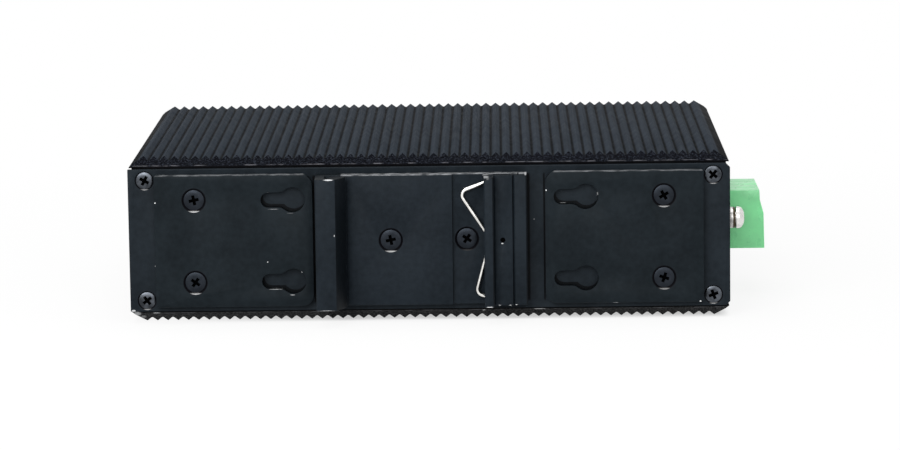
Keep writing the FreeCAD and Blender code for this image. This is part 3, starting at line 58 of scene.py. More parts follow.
BARE_METAL: Rgb = (0.66, 0.67, 0.68)
# Painted highlight: bare metal on the screw seats' low edges, where the light falls.
SEAT_LIT_METAL: Rgb = (0.5, 0.5, 0.5)
CUT_METAL: Rgb = (0.42, 0.43, 0.45)
# Painted shade in the screw seats and on the walls of pierced holes.
HOLE_SHADE_DARK: Rgb = (0.002, 0.002, 0.003)
SHADE_DARK: Rgb = (0.001, 0.0015, 0.002)
# Painted shadow in upright strips beside edges.
STRIP_SHADE_DARK: Rgb = (0.001, 0.001, 0.0015)
STAIN_BROWN: Rgb = (0.05, 0.04, 0.025)
NOISE_SPAN: Spot = (0.3, 0.7)


class Axis(Enum):
    """The axis that an outline is pulled out along; its other two axes carry the outline."""

    X = 0
    Y = 1
    Z = 2

    def spot(self, first: float, second: float, along: float) -> Vector:
        """Gives a point of an outline in metres.

        Args:
            first: The outline's first value, in millimetres.
            second: The outline's second value, in millimetres.
            along: The place along this axis, in millimetres.

        Returns:
            The point in the part's frame.
        """
        values = [first, second]
        values.insert(self.value, along)
        return Vector(values) * MM

    def way(self) -> Vector:
        """Gives the unit vector of this axis."""
        return Vector([1.0 if index == self.value else 0.0 for index in range(3)])


def deselect() -> None:
    """Leaves object mode with nothing selected."""
    if bpy.context.object and bpy.context.object.mode != "OBJECT":
        bpy.ops.object.mode_set(mode="OBJECT")
    bpy.ops.object.select_all(action="DESELECT")


def take(piece: Piece) -> None:
    """Makes one piece the only selected and active one.

    Args:
        piece: The piece to work on.
    """
    deselect()
    piece.select_set(True)
    bpy.context.view_layer.objects.active = piece


@contextmanager
def editing(piece: Piece) -> Iterator[None]:
    """Opens a piece in edit mode and goes back to object mode afterwards.

    Args:
        piece: The piece to edit.
    """
    take(piece)
    bpy.ops.object.mode_set(mode="EDIT")
    yield
    bpy.ops.object.mode_set(mode="OBJECT")


@contextmanager
def whole(piece: Piece) -> Iterator[None]:
    """Opens a piece in edit mode with all of it selected.

    Args:
        piece: The piece to edit.
    """
    with editing(piece):
        bpy.ops.mesh.select_all(action="SELECT")
        yield


def move(shift: Sequence[float]) -> None:
    """Moves what is selected by a shift in millimetres."""
    bpy.ops.transform.translate(value=Vector(shift) * MM)


def rotate(angle: float, axis: Axis, centre: Sequence[float] = (0, 0, 0)) -> None:
    """Turns what is selected in edit mode.

    Args:
        angle: The turn, in degrees.
        axis: The axis to turn about.
        centre: A point on that axis, in millimetres.
    """
    bpy.ops.transform.rotate(value=math.radians(angle), orient_axis=axis.name, center_override=Vector(centre) * MM)


def pick(piece: Piece, test: Callable[[Vector], bool], faces: bool = False) -> None:
    """Selects the points or the faces whose place passes a test.

    Args:
        piece: A piece in object mode.
        test: Gets a point's place or a face's centre, in millimetres.
        faces: True to select faces.
    """
    mesh = piece.data
    bpy.context.tool_settings.mesh_select_mode = (not faces, False, faces)
    for kind in (mesh.vertices, mesh.edges, mesh.polygons):
        for element in kind:
            element.select = False
    for element in mesh.polygons if faces else mesh.vertices:
        element.select = test((element.center if faces else element.co) / MM)


def trace_line(name: str, spots: Sequence[Vector]) -> Piece:
    """Traces an open line by extruding one point from spot to spot.

    Args:
        name: The piece's name.
        spots: The points of the line, in metres.

    Returns:
        A piece with points and edges only.
    """
    deselect()
    bpy.context.tool_settings.mesh_select_mode = (True, False, False)
    bpy.ops.mesh.primitive_plane_add(size=MM, location=(0, 0, 0))
    piece = bpy.context.object
    piece.name = piece.data.name = name
    with whole(piece):
        bpy.ops.mesh.merge(type="CENTER")
        bpy.ops.transform.translate(value=spots[0])
        for before, after in zip(spots, spots[1:]):
            bpy.ops.mesh.extrude_region_move(TRANSFORM_OT_translate={"value": after - before})
    return piece


def trace(name: str, outline: Sequence[Spot], axis: Axis, start: float, end: float) -> Piece:
    """Traces an outline, fills it and pulls it out along an axis.

    Args:
        name: The piece's name.
        outline: The outline's points in millimetres, without the first one repeated.
        axis: The axis to pull along.
        start: Where the pull starts, in millimetres.
        end: Where it ends.

    Returns:
        A closed solid piece.
    """
    piece = trace_line(name, [axis.spot(first, second, start) for first, second in outline])
    with whole(piece):
        bpy.ops.mesh.edge_face_add()
        pull = axis.way() * (end - start) * MM
        bpy.ops.mesh.extrude_region_move(TRANSFORM_OT_translate={"value": pull})
        face_outwards()
    return piece


def face_outwards() -> None:
    """Turns every face of the piece in edit mode outwards."""
    bpy.ops.mesh.select_all(action="SELECT")
    bpy.ops.mesh.normals_make_consistent(inside=False)


def turn(name: str, profile: Sequence[Spot], axis: Axis, centre: Sequence[float], steps: int = 40) -> Piece:
    """Turns half a section once round an axis, as on a lathe.

    Args:
        name: The piece's name.
        profile: Pairs of radius and place along the axis, in millimetres.
        axis: The axis of the turned piece.
        centre: A point on the axis, in millimetres, that the places are counted from.
        steps: How many flats make the full turn.

    Returns:
        A closed turned piece.
    """
    middle = Vector(centre) * MM
    out = Axis.X.way() if axis is not Axis.X else Axis.Y.way()
    spots = [middle + out * radius * MM + axis.way() * along * MM for radius, along in profile]
    piece = trace_line(name, spots)
    with whole(piece):
        bpy.ops.mesh.spin(steps=steps, angle=2 * math.pi, center=middle, axis=axis.way())
        bpy.ops.mesh.select_all(action="SELECT")
        bpy.ops.mesh.remove_doubles(threshold=0.002 * MM)
        face_outwards()
    return piece


def rod(name: str, radius: float, start: float, end: float, axis: Axis, centre: Sequence[float], steps: int) -> Piece:
    """Turns a plain rod, such as the cutter of a round hole.

    Args:
        name: The piece's name.
        radius: Its radius, in millimetres.
        start: Where it starts along the axis, counted from the centre.
        end: Where it ends.
        axis: Its axis.
        centre: The point on the axis that its ends are counted from.
        steps: How many flats make the full turn.

    Returns:
        The rod.
    """
    return turn(name, [(0, start), (radius, start), (radius, end), (0, end)], axis, centre, steps)


def round_wire(line: Piece, radius: float, facets: int) -> Piece:
    """Makes round wire of a traced line.

    Args:
        line: A piece with points and edges only.
        radius: The wire's radius, in millimetres.
        facets: How finely its section is rounded.

    Returns:
        The closed wire, with the line's name.
    """
    name = line.name
    take(line)
    bpy.ops.object.convert(target="CURVE")
    curve = bpy.context.object.data
    curve.bevel_depth = radius * MM
    curve.bevel_resolution = facets
    curve.use_fill_caps = True
    bpy.ops.object.convert(target="MESH")
    wire = bpy.context.object
    wire.name = wire.data.name = name
    return smooth(wire, 50.0)


def block(name: str, low: Sequence[float], high: Sequence[float]) -> Piece:
    """Adds a box between two corners, the start of a piece or of a cutter.

    Args:
        name: The piece's name.
        low: The lowest corner, in millimetres.
        high: The highest corner.

    Returns:
        The box, with its place in its mesh.
    """
    deselect()
    middle = (Vector(low) + Vector(high)) / 2 * MM
    bpy.ops.mesh.primitive_cube_add(size=1.0, location=middle)
    piece = bpy.context.object
    piece.name = piece.data.name = name
    piece.scale = (Vector(high) - Vector(low)) * MM
    bpy.ops.object.transform_apply(location=True, rotation=True, scale=True)
    return piece


def apply_modifier(piece: Piece, kind: str, **settings: object) -> None:
    """Adds one modifier and applies it at once.

    Args:
        piece: The piece to change.
        kind: The modifier's type.
        **settings: The modifier's settings by name.
    """
    take(piece)
    modifier = piece.modifiers.new(kind.title(), kind)
    for key, value in settings.items():
        setattr(modifier, key, value)
    bpy.ops.object.modifier_apply(modifier=modifier.name)


def carve(piece: Piece, cutters: Sequence[Piece]) -> Piece:
    """Cuts each cutter out of a piece and throws the cutters away.

    Args:
        piece: The piece to cut.
        cutters: Closed pieces that don't overlap each other.

    Returns:
        The cut piece.
    """
    cutter = join(cutters, "cutter") if len(cutters) > 1 else cutters[0]
    apply_modifier(piece, "BOOLEAN", operation="DIFFERENCE", solver="EXACT", object=cutter)
    bpy.data.objects.remove(cutter, do_unlink=True)
    return piece


def join(pieces: Sequence[Piece], name: str) -> Piece:
    """Joins pieces into one.

    Args:
        pieces: The pieces, of which the first takes the others in.
        name: The joined piece's name.

    Returns:
        The joined piece.
    """
    take(pieces[0])
    for piece in pieces[1:]:
        piece.select_set(True)
    bpy.ops.object.join()
    pieces[0].name = pieces[0].data.name = name
    return pieces[0]


def copy_to(piece: Piece, name: str, shift: Sequence[float]) -> Piece:
    """Copies a piece with its own mesh, some way off.

    Args:
        piece: The piece to copy.
        name: The copy's name.
        shift: How far the copy stands off, in millimetres.

    Returns:
        The copy.
    """
    take(piece)
    bpy.ops.object.duplicate(linked=False)
    made = bpy.context.object
    made.name = made.data.name = name
    move(shift)
    bpy.ops.object.transform_apply(location=True, rotation=True, scale=True)
    return made


def mirror_copy(piece: Piece, name: str, axis: Axis) -> Piece:
    """Copies a piece to the other side of the frame's origin.

    Args:
        piece: The piece to copy.
        name: The copy's name.
        axis: The axis along which the copy is turned over.

    Returns:
        The mirrored copy, facing outwards.
    """
    made = copy_to(piece, name, (0, 0, 0))
    factors = [-1.0 if index == axis.value else 1.0 for index in range(3)]
    with whole(made):
        bpy.ops.transform.resize(value=factors, center_override=(0, 0, 0))
        bpy.ops.mesh.flip_normals()
    return made


def soften(piece: Piece, width: float, segments: int = 2, angle: float = 28.0) -> Piece:
    """Breaks the sharp edges of a piece and smooths its shading.

    Args:
        piece: The piece to finish.
        width: The broken edge's width, in millimetres.
        segments: How many facets the broken edge has.
        angle: The least turn between two faces, in degrees, that counts as an edge.

    Returns:
        The finished piece.
    """
    apply_modifier(piece, "BEVEL", width=width * MM, segments=segments, limit_method="ANGLE",
                   angle_limit=math.radians(angle), harden_normals=False, use_clamp_overlap=True)
    return smooth(piece)


def smooth(piece: Piece, angle: float = 38.0) -> Piece:
    """Smooths the shading where faces meet at less than an angle.

    Args:
        piece: The piece to shade.
        angle: The angle, in degrees.

    Returns:
        The shaded piece.
    """
    take(piece)
    bpy.ops.object.shade_smooth_by_angle(angle=math.radians(angle))
    return piece


def arc(cx: float, cy: float, radius: float, start: float, end: float, step: float = 9.0) -> list[Spot]:
    """Gives points along an arc.

    Args:
        cx: The centre's first value.
        cy: The centre's second value.
        radius: The radius.
        start: The first angle, in degrees.
        end: The last angle.
        step: The widest turn between two points.

    Returns:
        The points, both ends included.
    """
    count = max(1, math.ceil(abs(end - start) / step))
    turns = [math.radians(start + (end - start) * index / count) for index in range(count + 1)]
    return [(cx + radius * math.cos(turn), cy + radius * math.sin(turn)) for turn in turns]


@dataclass(frozen=True)
class Chip:
    """A small bare spot on the rear where paint has come off.

    Attributes:
        x: Its place along X, in millimetres.
        z: Its place along Z.
        wide: Half its width.
        tall: Half its height.
        shine: How bare it is, from 0 to 1.
        y: Its place along Y.
        deep: Half its reach along Y.
    """

    x: float
    z: float
    wide: float = 0.14
    tall: float = 0.14
    shine: float = 1.0
    y: float = 0.0
    deep: float = 12.0


class Nodes:
    """A node tree with short ways to add, join and work out."""

    def __init__(self, tree: bpy.types.NodeTree) -> None:
        """Keeps the tree.

        Args:
            tree: The tree to build in.
        """
        self.tree = tree

    def node(self, kind: str, **settings: object) -> bpy.types.Node:
        """Adds one node with its settings.

        Args:
            kind: The node's type.
            **settings: Settings by name.

        Returns:
            The node.
        """
        made = self.tree.nodes.new(kind)
        for key, value in settings.items():
            setattr(made, key, value)
        return made

    def find(self, kind: str) -> bpy.types.Node:
        """Gives the tree's first node of one type."""
        return next(node for node in self.tree.nodes if node.type == kind)

    def join(self, source: bpy.types.NodeSocket, target: bpy.types.NodeSocket) -> None:
        """Joins two sockets."""
        self.tree.links.new(source, target)

    def math(self, operation: str, first: object, second: object) -> bpy.types.NodeSocket:
        """Works out one number from two.

        Args:
            operation: The operation's name.
            first: A socket or a number.
            second: A socket or a number.

        Returns:
            The result.
        """
        made = self.node("ShaderNodeMath", operation=operation)
        for source, target in zip((first, second), made.inputs):
            if isinstance(source, (int, float)):
                target.default_value = source
            else:
                self.join(source, target)
        return made.outputs[0]

    def times(self, first: object, *others: object) -> bpy.types.NodeSocket:
        """Multiplies sockets and numbers, from the first to the last."""
        for other in others:
            first = self.math("MULTIPLY", first, other)
        return first

    def size(self, value: bpy.types.NodeSocket) -> bpy.types.NodeSocket:
        """Drops a value's sign."""
        return self.math("ABSOLUTE", value, 0.0)

    def span(self, value: bpy.types.NodeSocket, low: float, high: float, to_low: float = 0.0,
             to_high: float = 1.0) -> bpy.types.NodeSocket:
        """Maps a value's range onto another and clamps it.

        Args:
            value: The value to read.
            low: The value that gives to_low.
            high: The value that gives to_high.
            to_low: The first result.
            to_high: The last result.

        Returns:
            The mapped value.
        """
        made = self.node("ShaderNodeMapRange", clamp=True)
        for key, number in (("From Min", low), ("From Max", high), ("To Min", to_low), ("To Max", to_high)):
            made.inputs[key].default_value = number
        self.join(value, made.inputs["Value"])
        return made.outputs["Result"]

    def seen(self) -> bpy.types.NodeSocket:
        """Gives 1 for rays from the camera, from gloss and through glass."""
        path = self.node("ShaderNodeLightPath")
        seen = self.math("MAXIMUM", path.outputs["Is Camera Ray"], path.outputs["Is Glossy Ray"])
        return self.math("MAXIMUM", seen, path.outputs["Is Transmission Ray"])


class Sheet(Nodes):
    """A material's node tree, with patterns that are set in the part's frame."""

    def __init__(self, name: str) -> None:
        """Starts a material with one principled shader.

        Args:
            name: The material's name.
        """
        self.material = bpy.data.materials.new(name)
        self.material.use_nodes = True
        super().__init__(self.material.node_tree)
        self.shader = self.find("BSDF_PRINCIPLED")
        self.place = self.node("ShaderNodeTexCoord").outputs["Object"]

    def noise(self, size: float, detail: float = 3.0, stretch: Triple = (1, 1, 1)) -> bpy.types.NodeSocket:
        """Adds a noise whose features are about one size.

        Args:
            size: The features' size in millimetres.
            detail: How many finer octaves it has.
            stretch: How much the pattern is drawn out along each axis.

        Returns:
            The noise's value, from 0 to 1.
        """
        mapping = self.node("ShaderNodeMapping")
        mapping.inputs["Scale"].default_value = [1 / value for value in stretch]
        self.join(self.place, mapping.inputs["Vector"])
        noise = self.node("ShaderNodeTexNoise")
        noise.inputs["Scale"].default_value = 1 / (size * MM)
        noise.inputs["Detail"].default_value = detail
        self.join(mapping.outputs["Vector"], noise.inputs["Vector"])
        return noise.outputs["Fac"]

    def ramp(self, value: bpy.types.NodeSocket, stops: Sequence[tuple[float, Rgb]]) -> bpy.types.NodeSocket:
        """Turns a value into a colour by stops.

        Args:
            value: The value to read.
            stops: Pairs of place and colour.

        Returns:
            The colour.
        """
        ramp = self.node("ShaderNodeValToRGB")
        elements = ramp.color_ramp.elements
        while len(elements) < len(stops):
            elements.new(0.5)
        for element, (place, colour) in zip(elements, stops):
            element.position = place
            element.color = (*colour, 1.0)
        self.join(value, ramp.inputs["Fac"])
        return ramp.outputs["Color"]

    def mix(self, factor: bpy.types.NodeSocket, first: object, second: object) -> bpy.types.NodeSocket:
        """Mixes two colours by a factor.

        Args:
            factor: 0 gives the first colour and 1 the second.
            first: A socket or a colour.
            second: A socket or a colour.

        Returns:
            The mixed colour.
        """
        made = self.node("ShaderNodeMix", data_type="RGBA")
        self.join(factor, made.inputs["Factor"])
        for source, target in zip((first, second), (made.inputs[6], made.inputs[7])):
            if isinstance(source, (tuple, list)):
                target.default_value = (*source, 1.0)
            else:
                self.join(source, target)
        return made.outputs[2]

    def part(self, axis: Axis) -> bpy.types.NodeSocket:
        """Gives the place along one axis of the part's frame, in metres."""
        split = self.node("ShaderNodeSeparateXYZ")
        self.join(self.place, split.inputs[0])
        return split.outputs[axis.value]

    def away(self, axis: Axis, middle: float) -> bpy.types.NodeSocket:
        """Gives the distance along one axis from a place in millimetres, in metres."""
        return self.size(self.math("SUBTRACT", self.part(axis), middle * MM))

    def normal(self, axis: Axis) -> bpy.types.NodeSocket:
        """Gives how much the surface faces along one axis, from -1 to 1."""
        split = self.node("ShaderNodeSeparateXYZ")
        self.join(self.node("ShaderNodeNewGeometry").outputs["True Normal"], split.inputs[0])
        return split.outputs[axis.value]

    def step(self, value: bpy.types.NodeSocket, low: float, high: float, to_low: float = 0.0,
             to_high: float = 1.0) -> bpy.types.NodeSocket:
        """Maps a length's range like span, with the range's ends in millimetres."""
        return self.span(value, low * MM, high * MM, to_low, to_high)

    def zone(self, axis: Axis, low: float, high: float, to_low: float = 0.0,
             to_high: float = 1.0) -> bpy.types.NodeSocket:
        """Maps the places along one axis like span, with the range's ends in millimetres."""
        return self.step(self.part(axis), low, high, to_low, to_high)

    def spot(self, chip: Chip, ragged: bool = True) -> bpy.types.NodeSocket:
        """Gives a factor that is high on one spot.

        Args:
            chip: The spot's place and reach.
            ragged: True for a broken edge and False for a plain one.

        Returns:
            The factor, which is the chip's shine inside a broken edge and 1 inside a plain one.
        """
        away = self.node("ShaderNodeVectorMath", operation="SUBTRACT")
        away.inputs[1].default_value = (chip.x * MM, chip.y * MM, chip.z * MM)
        self.join(self.place, away.inputs[0])
        scaled = self.node("ShaderNodeVectorMath", operation="MULTIPLY")
        scaled.inputs[1].default_value = (1 / (chip.wide * MM), 1 / (chip.deep * MM), 1 / (chip.tall * MM))
        self.join(away.outputs[0], scaled.inputs[0])
        reach = self.node("ShaderNodeVectorMath", operation="LENGTH")
        self.join(scaled.outputs[0], reach.inputs[0])
        far = reach.outputs["Value"]
        if not ragged:
            return self.span(far, 0.99, 1.01, 1.0, 0.0)
        broken = self.math("ADD", far, self.times(self.noise(0.3, 3.0), 0.9))
        return self.span(broken, 1.1, 1.6, chip.shine, 0.0)

    def bump(self, height: bpy.types.NodeSocket, depth: float) -> None:
        """Raises the surface by a height pattern.

        Args:
            height: The pattern, from 0 to 1.
            depth: What 1 stands for, in millimetres.
        """
        bump = self.node("ShaderNodeBump")
        bump.inputs["Distance"].default_value = depth * MM
        bump.inputs["Strength"].default_value = 1.0
        self.join(height, bump.inputs["Height"])
        self.join(bump.outputs["Normal"], self.shader.inputs["Normal"])

    def set(self, **values: object) -> None:
        """Sets sockets of the shader, with underscores for the spaces in their names."""
        for key, value in values.items():
            self.shader.inputs[key.replace("_", " ")].default_value = value

    def colour(self, socket: bpy.types.NodeSocket) -> None:
        """Feeds the shader's colour."""
        self.join(socket, self.shader.inputs["Base Color"])

    def roughness(self, pattern: bpy.types.NodeSocket, low: float, high: float) -> None:
        """Lets the shader's roughness drift between two values with a noise."""
        self.join(self.span(pattern, *NOISE_SPAN, low, high), self.shader.inputs["Roughness"])


def drift(colour: Rgb, spread: float) -> list[tuple[float, Rgb]]:
    """Gives the stops of a colour that drifts with a noise.

    Args:
        colour: The middle colour.
        spread: How far it drifts to either side, as a share.

    Returns:
        Pairs of place and colour, the dark one first.
    """
    dark = tuple(value * (1 - spread) for value in colour)
    light = tuple(min(1.0, value * (1 + spread)) for value in colour)
    return [(0.35, dark), (0.65, light)]


@dataclass(frozen=True)
class PaintFinish:
    """Black satin paint on aluminium, with its wear where the photograph shows it, and with painted shade and painted
    highlights at its edges, holes and screw seats.

    Attributes:
        name: The material's name.
        colour: The paint's colour.
        rough: Its roughness.
        gloss: The shader's specular level.
        grain: The size of the paint's grains, in millimetres.
        depth: How high the grains stand.
        chips: Bare spots on the rear.
        seats: Middles of the countersunk seats, and how bare their cones are at the low edge, painted bright there as a
            highlight; the rest of each seat is painted dark as its shadow.
        seat_r: Radius of such a seat.
        rim_from: Above this height the surface is a thinly painted cut, in millimetres; 0 for no cut.
        rim_back: The cut shows only behind this place along Y.
        rim_left: The cut shows only to the right of this place along X.
        rim_shine: How bare the cut is.
        shaded_hole_walls: True where the walls of pierced holes are painted dark as shade.
        hole_reach: How far from mid-height pierced holes reach, in millimetres.
        shade_strips: Dark strips of painted shadow where an edge stands beside the surface, as pairs of their ends
            along X.
        shade_strip_reach: How far from mid-height the strips reach.
        shade_strip_back: They end at this place along Y.
        side_shade: How strongly painted shade darkens the drawn sides that look along +X and the cut ends that look
            along Z.
        keyholes: Slots' centres of keyholes in front of the surface, which shade it at their left and low edges.
    """

    name: str
    colour: Rgb
    rough: float = 0.45
    gloss: float = 0.05
    grain: float = 0.5
    depth: float = 0.02
    chips: tuple[Chip, ...] = ()
    seats: tuple[Triple, ...] = ()
    seat_r: float = 2.9
    rim_from: float = 0.0
    rim_back: float = -0.4
    rim_left: float = -80.0
    rim_shine: float = 0.5
    shaded_hole_walls: bool = False
    hole_reach: float = 15.2
    shade_strips: tuple[Spot, ...] = ()
    shade_strip_reach: float = 15.0
    shade_strip_back: float = 3.6
    side_shade: float = 0.0
    keyholes: tuple[Spot, ...] = ()

    def make(self) -> bpy.types.Material:
        """Builds the material.

        Returns:
            The material.
        """
        sheet = Sheet(self.name)
        sheet.set(Specular_IOR_Level=self.gloss)
        light = tuple(min(1.0, value * 1.22 + 0.001) for value in self.colour)
        dark = tuple(value * 0.8 for value in self.colour)
        broad, fine = sheet.noise(14.0, 4.0), sheet.noise(1.3, 4.0)
        cloud = sheet.math("ADD", sheet.times(broad, 0.6), sheet.times(fine, 0.4))
        tone = sheet.ramp(cloud, [(0.38, dark), (0.62, light)])
        # Painted shade on the walls of pierced holes.
        if self.shaded_hole_walls:
            tone = sheet.mix(self._shaded_walls(sheet), tone, HOLE_SHADE_DARK)
        # Painted shade on the faces that look along +X and along Z.
        if self.side_shade > 0:
            tone = sheet.mix(self._shaded_sides(sheet), tone, SHADE_DARK)
        if self.rim_from > 0:
            tone = sheet.mix(self._rim(sheet), tone, CUT_METAL)
        # Painted shadows in upright strips beside edges.
        for strip in self.shade_strips:
            tone = sheet.mix(self._shade_strip(sheet, strip), tone, STRIP_SHADE_DARK)
        for x, z in self.keyholes:
            tone = sheet.mix(self._shade(sheet, x, z), tone, SHADE_DARK)
        # Painted shadow in each screw seat, and a painted highlight of bare metal on its low edge.
        for x, z, bare in self.seats:
            ring = sheet.spot(Chip(x, z, self.seat_r, self.seat_r), False)
            tone = sheet.mix(ring, tone, HOLE_SHADE_DARK)
            low = sheet.zone(Axis.Z, z - self.seat_r * 0.96, z - self.seat_r * 0.85, bare, 0.0)
            tone = sheet.mix(sheet.times(ring, low), tone, SEAT_LIT_METAL)
        for chip in self.chips:
            tone = sheet.mix(sheet.spot(chip), tone, BARE_METAL)
        sheet.colour(tone)
        sheet.roughness(sheet.noise(5.0, 5.0), self.rough - 0.06, self.rough + 0.08)
        sheet.bump(sheet.noise(self.grain, 2.0), self.depth)
        return sheet.material

    def _rim(self, sheet: Sheet) -> bpy.types.NodeSocket:
        """Gives a factor that is high on the bare parts of the upper cut edge."""
        rim = sheet.zone(Axis.Z, self.rim_from - 0.12, self.rim_from)
        near = sheet.zone(Axis.Y, self.rim_back - 0.3, self.rim_back)
        right = sheet.zone(Axis.X, self.rim_left - 0.3, self.rim_left)
        worn = sheet.span(sheet.noise(1.3, 5.0, (2.0, 1.0, 1.0)), 0.4, 0.6, 0.12, 1.0)
        return sheet.times(sheet.times(rim, near), sheet.times(worn, right), self.rim_shine)

    def _shade_strip(self, sheet: Sheet, strip: Spot) -> bpy.types.NodeSocket:
        """Gives a factor that is high on one upright strip of painted shadow on the rear."""
        middle, half = (strip[0] + strip[1]) / 2, (strip[1] - strip[0]) / 2
        across = sheet.step(sheet.away(Axis.X, middle), half * 0.6, half * 1.3, 0.92, 0.0)
        tall = sheet.step(sheet.size(sheet.part(Axis.Z)), self.shade_strip_reach, self.shade_strip_reach + 0.6, 1.0, 0.0)
        rear = sheet.zone(Axis.Y, self.shade_strip_back, self.shade_strip_back + 0.4, 1.0, 0.0)
        return sheet.times(tall, rear, across)

    @staticmethod
    def _shade(sheet: Sheet, x: float, z: float) -> bpy.types.NodeSocket:
        """Gives a factor that is high where a keyhole's left and low edges shade the surface."""
        lift, shift = 0.55, 0.4
        slot_r, round_r, travel = 1.8, 3.0, 6.0
        high = z + lift
        lit = sheet.math("MAXIMUM", sheet.spot(Chip(x + travel, high, round_r, round_r), False),
                         sheet.spot(Chip(x + shift, high, slot_r, slot_r), False))
        strip = sheet.times(sheet.step(sheet.away(Axis.Z, high), slot_r - 0.05, slot_r + 0.05, 1.0, 0.0),
                            sheet.zone(Axis.X, x + shift - 0.1, x + shift))
        shaded = sheet.math("SUBTRACT", 0.9, sheet.math("MAXIMUM", lit, strip))
        near = sheet.spot(Chip(x + travel / 2, z, 7.0, 4.4), False)
        return sheet.times(sheet.math("MAXIMUM", shaded, 0.0), near)

    def _shaded_sides(self, sheet: Sheet) -> bpy.types.NodeSocket:
        """Gives a factor of painted shade that is high on the faces that look along +X or along Z."""
        side = sheet.span(sheet.normal(Axis.X), 0.25, 0.4)
        end = sheet.span(sheet.size(sheet.normal(Axis.Z)), 0.5, 0.8)
        return sheet.times(sheet.math("MAXIMUM", side, end), self.side_shade)

    def _shaded_walls(self, sheet: Sheet) -> bpy.types.NodeSocket:
        """Gives a factor of painted shade that is high on the walls of holes pierced along Y."""
        wall = sheet.span(sheet.size(sheet.normal(Axis.Y)), 0.1, 0.5, 1.0, 0.0)
        inside = sheet.step(sheet.size(sheet.part(Axis.Z)), self.hole_reach, self.hole_reach + 0.2, 0.8, 0.0)
        return sheet.times(wall, inside)


@dataclass(frozen=True)
class RibFinish:
    """Granular black coat on the extruded, toothed covers, with painted shade in the valleys and a painted shadow along
    the seam.

    Attributes:
        name: The material's name.
        valley: Height of the valleys between the teeth, in millimetres.
        seam: Height of the covers' lower edge.
        light: The coat's colour on the teeth.
        dark: Its colour in the valleys, painted darker as shade between the teeth.
        grains: The milled ends' dark, middle and light grains.
        line: The colour of the bright line along the milled ends.
        lip: The colour of the edge under it, painted dark as the shadow in the seam.
        chips: Bare spots.
    """

    name: str
    valley: float
    seam: float
    light: Rgb = (0.022, 0.0288, 0.0385)
    dark: Rgb = (0.0012, 0.0016, 0.0024)
    grains: tuple[Rgb, Rgb, Rgb] = ((0.0004, 0.0005, 0.0014), (0.0028, 0.0034, 0.0056), (0.024, 0.028, 0.038))
    line: Rgb = (0.12, 0.12, 0.13)
    lip: Rgb = (0.0006, 0.0006, 0.001)
    chips: tuple[Chip, ...] = ()

    def make(self) -> bpy.types.Material:
        """Builds the material.

        Returns:
            The material.
        """
        sheet = Sheet(self.name)
        sheet.set(Specular_IOR_Level=0.04)
        height = sheet.size(sheet.part(Axis.Z))
        drawn = sheet.span(sheet.noise(1.6, 4.0, (1.0, 22.0, 1.0)), *NOISE_SPAN, 0.72, 1.16)
        # Painted shade: the coat darkens from the teeth down into the valleys.
        flank = sheet.step(height, self.valley, self.valley + 0.26)
        tone = sheet.mix(sheet.times(flank, drawn), self.dark, self.light)
        cut = sheet.span(sheet.size(sheet.normal(Axis.Y)), 0.25, 0.45)
        grains = sheet.ramp(sheet.noise(0.24, 3.0, (1.5, 1.0, 1.0)), list(zip((0.38, 0.52, 0.66), self.grains)))
        tone = sheet.mix(cut, tone, grains)
        tone = sheet.mix(sheet.times(self._bright_line(sheet, height), cut), tone, self.line)
        # Painted shadow: a dark band on the milled ends just over the seam.
        edge = sheet.step(height, self.seam + 0.2, self.seam + 0.34, 1.0, 0.0)
        tone = sheet.mix(sheet.times(edge, cut), tone, self.lip)
        for chip in self.chips:
            tone = sheet.mix(sheet.spot(chip), tone, BARE_METAL)
        sheet.colour(tone)
        sheet.roughness(sheet.noise(4.0, 4.0), 0.7, 0.85)
        sheet.bump(sheet.noise(0.3, 2.0), 0.025)
        return sheet.material

    def _bright_line(self, sheet: Sheet, height: bpy.types.NodeSocket) -> bpy.types.NodeSocket:
        """Gives a factor that is high on the broken bright line along the milled ends' lower edge."""
        lip = sheet.size(sheet.math("SUBTRACT", height, (self.seam + 0.44) * MM))
        worn = sheet.span(sheet.noise(0.9, 4.0, (3.0, 1.0, 1.0)), 0.48, 0.62, 0.0, 0.8)
        return sheet.times(sheet.step(lip, 0.05, 0.11, 1.0, 0.0), worn)


@dataclass(frozen=True)
class SteelFinish:
    """Bare or blackened metal with fine working marks.

    Attributes:
        name: The material's name.
        colour: The metal's colour.
        rough: Its roughness.
        mark: The marks' size, in millimetres.
        drawn: How much the marks are drawn out along each axis.
        spread: How far its tone drifts, as a share.
        stain_from: Past this place along X it is stained brown; 0 for no stain.
        depth: How deep the marks are.
    """

    name: str
    colour: Rgb
    rough: float
    mark: float = 0.12
    drawn: Triple = (1.0, 1.0, 1.0)
    spread: float = 0.16
    stain_from: float = 0.0
    depth: float = 0.006

    def make(self) -> bpy.types.Material:
        """Builds the material.

        Returns:
            The material.
        """
        sheet = Sheet(self.name)
        sheet.set(Metallic=1.0)
        marks = sheet.noise(self.mark, 4.0, self.drawn)
        tone = sheet.ramp(sheet.noise(1.8, 5.0), drift(self.colour, self.spread))
        if self.stain_from > 0:
            place = sheet.math("ADD", sheet.part(Axis.X), sheet.times(sheet.noise(0.8, 3.0), 0.3 * MM))
            stain = sheet.step(place, self.stain_from, self.stain_from + 0.3)
            tone = sheet.mix(stain, tone, STAIN_BROWN)
        sheet.colour(tone)
        sheet.roughness(marks, self.rough - 0.07, self.rough + 0.1)
        sheet.bump(marks, self.depth)
        return sheet.material


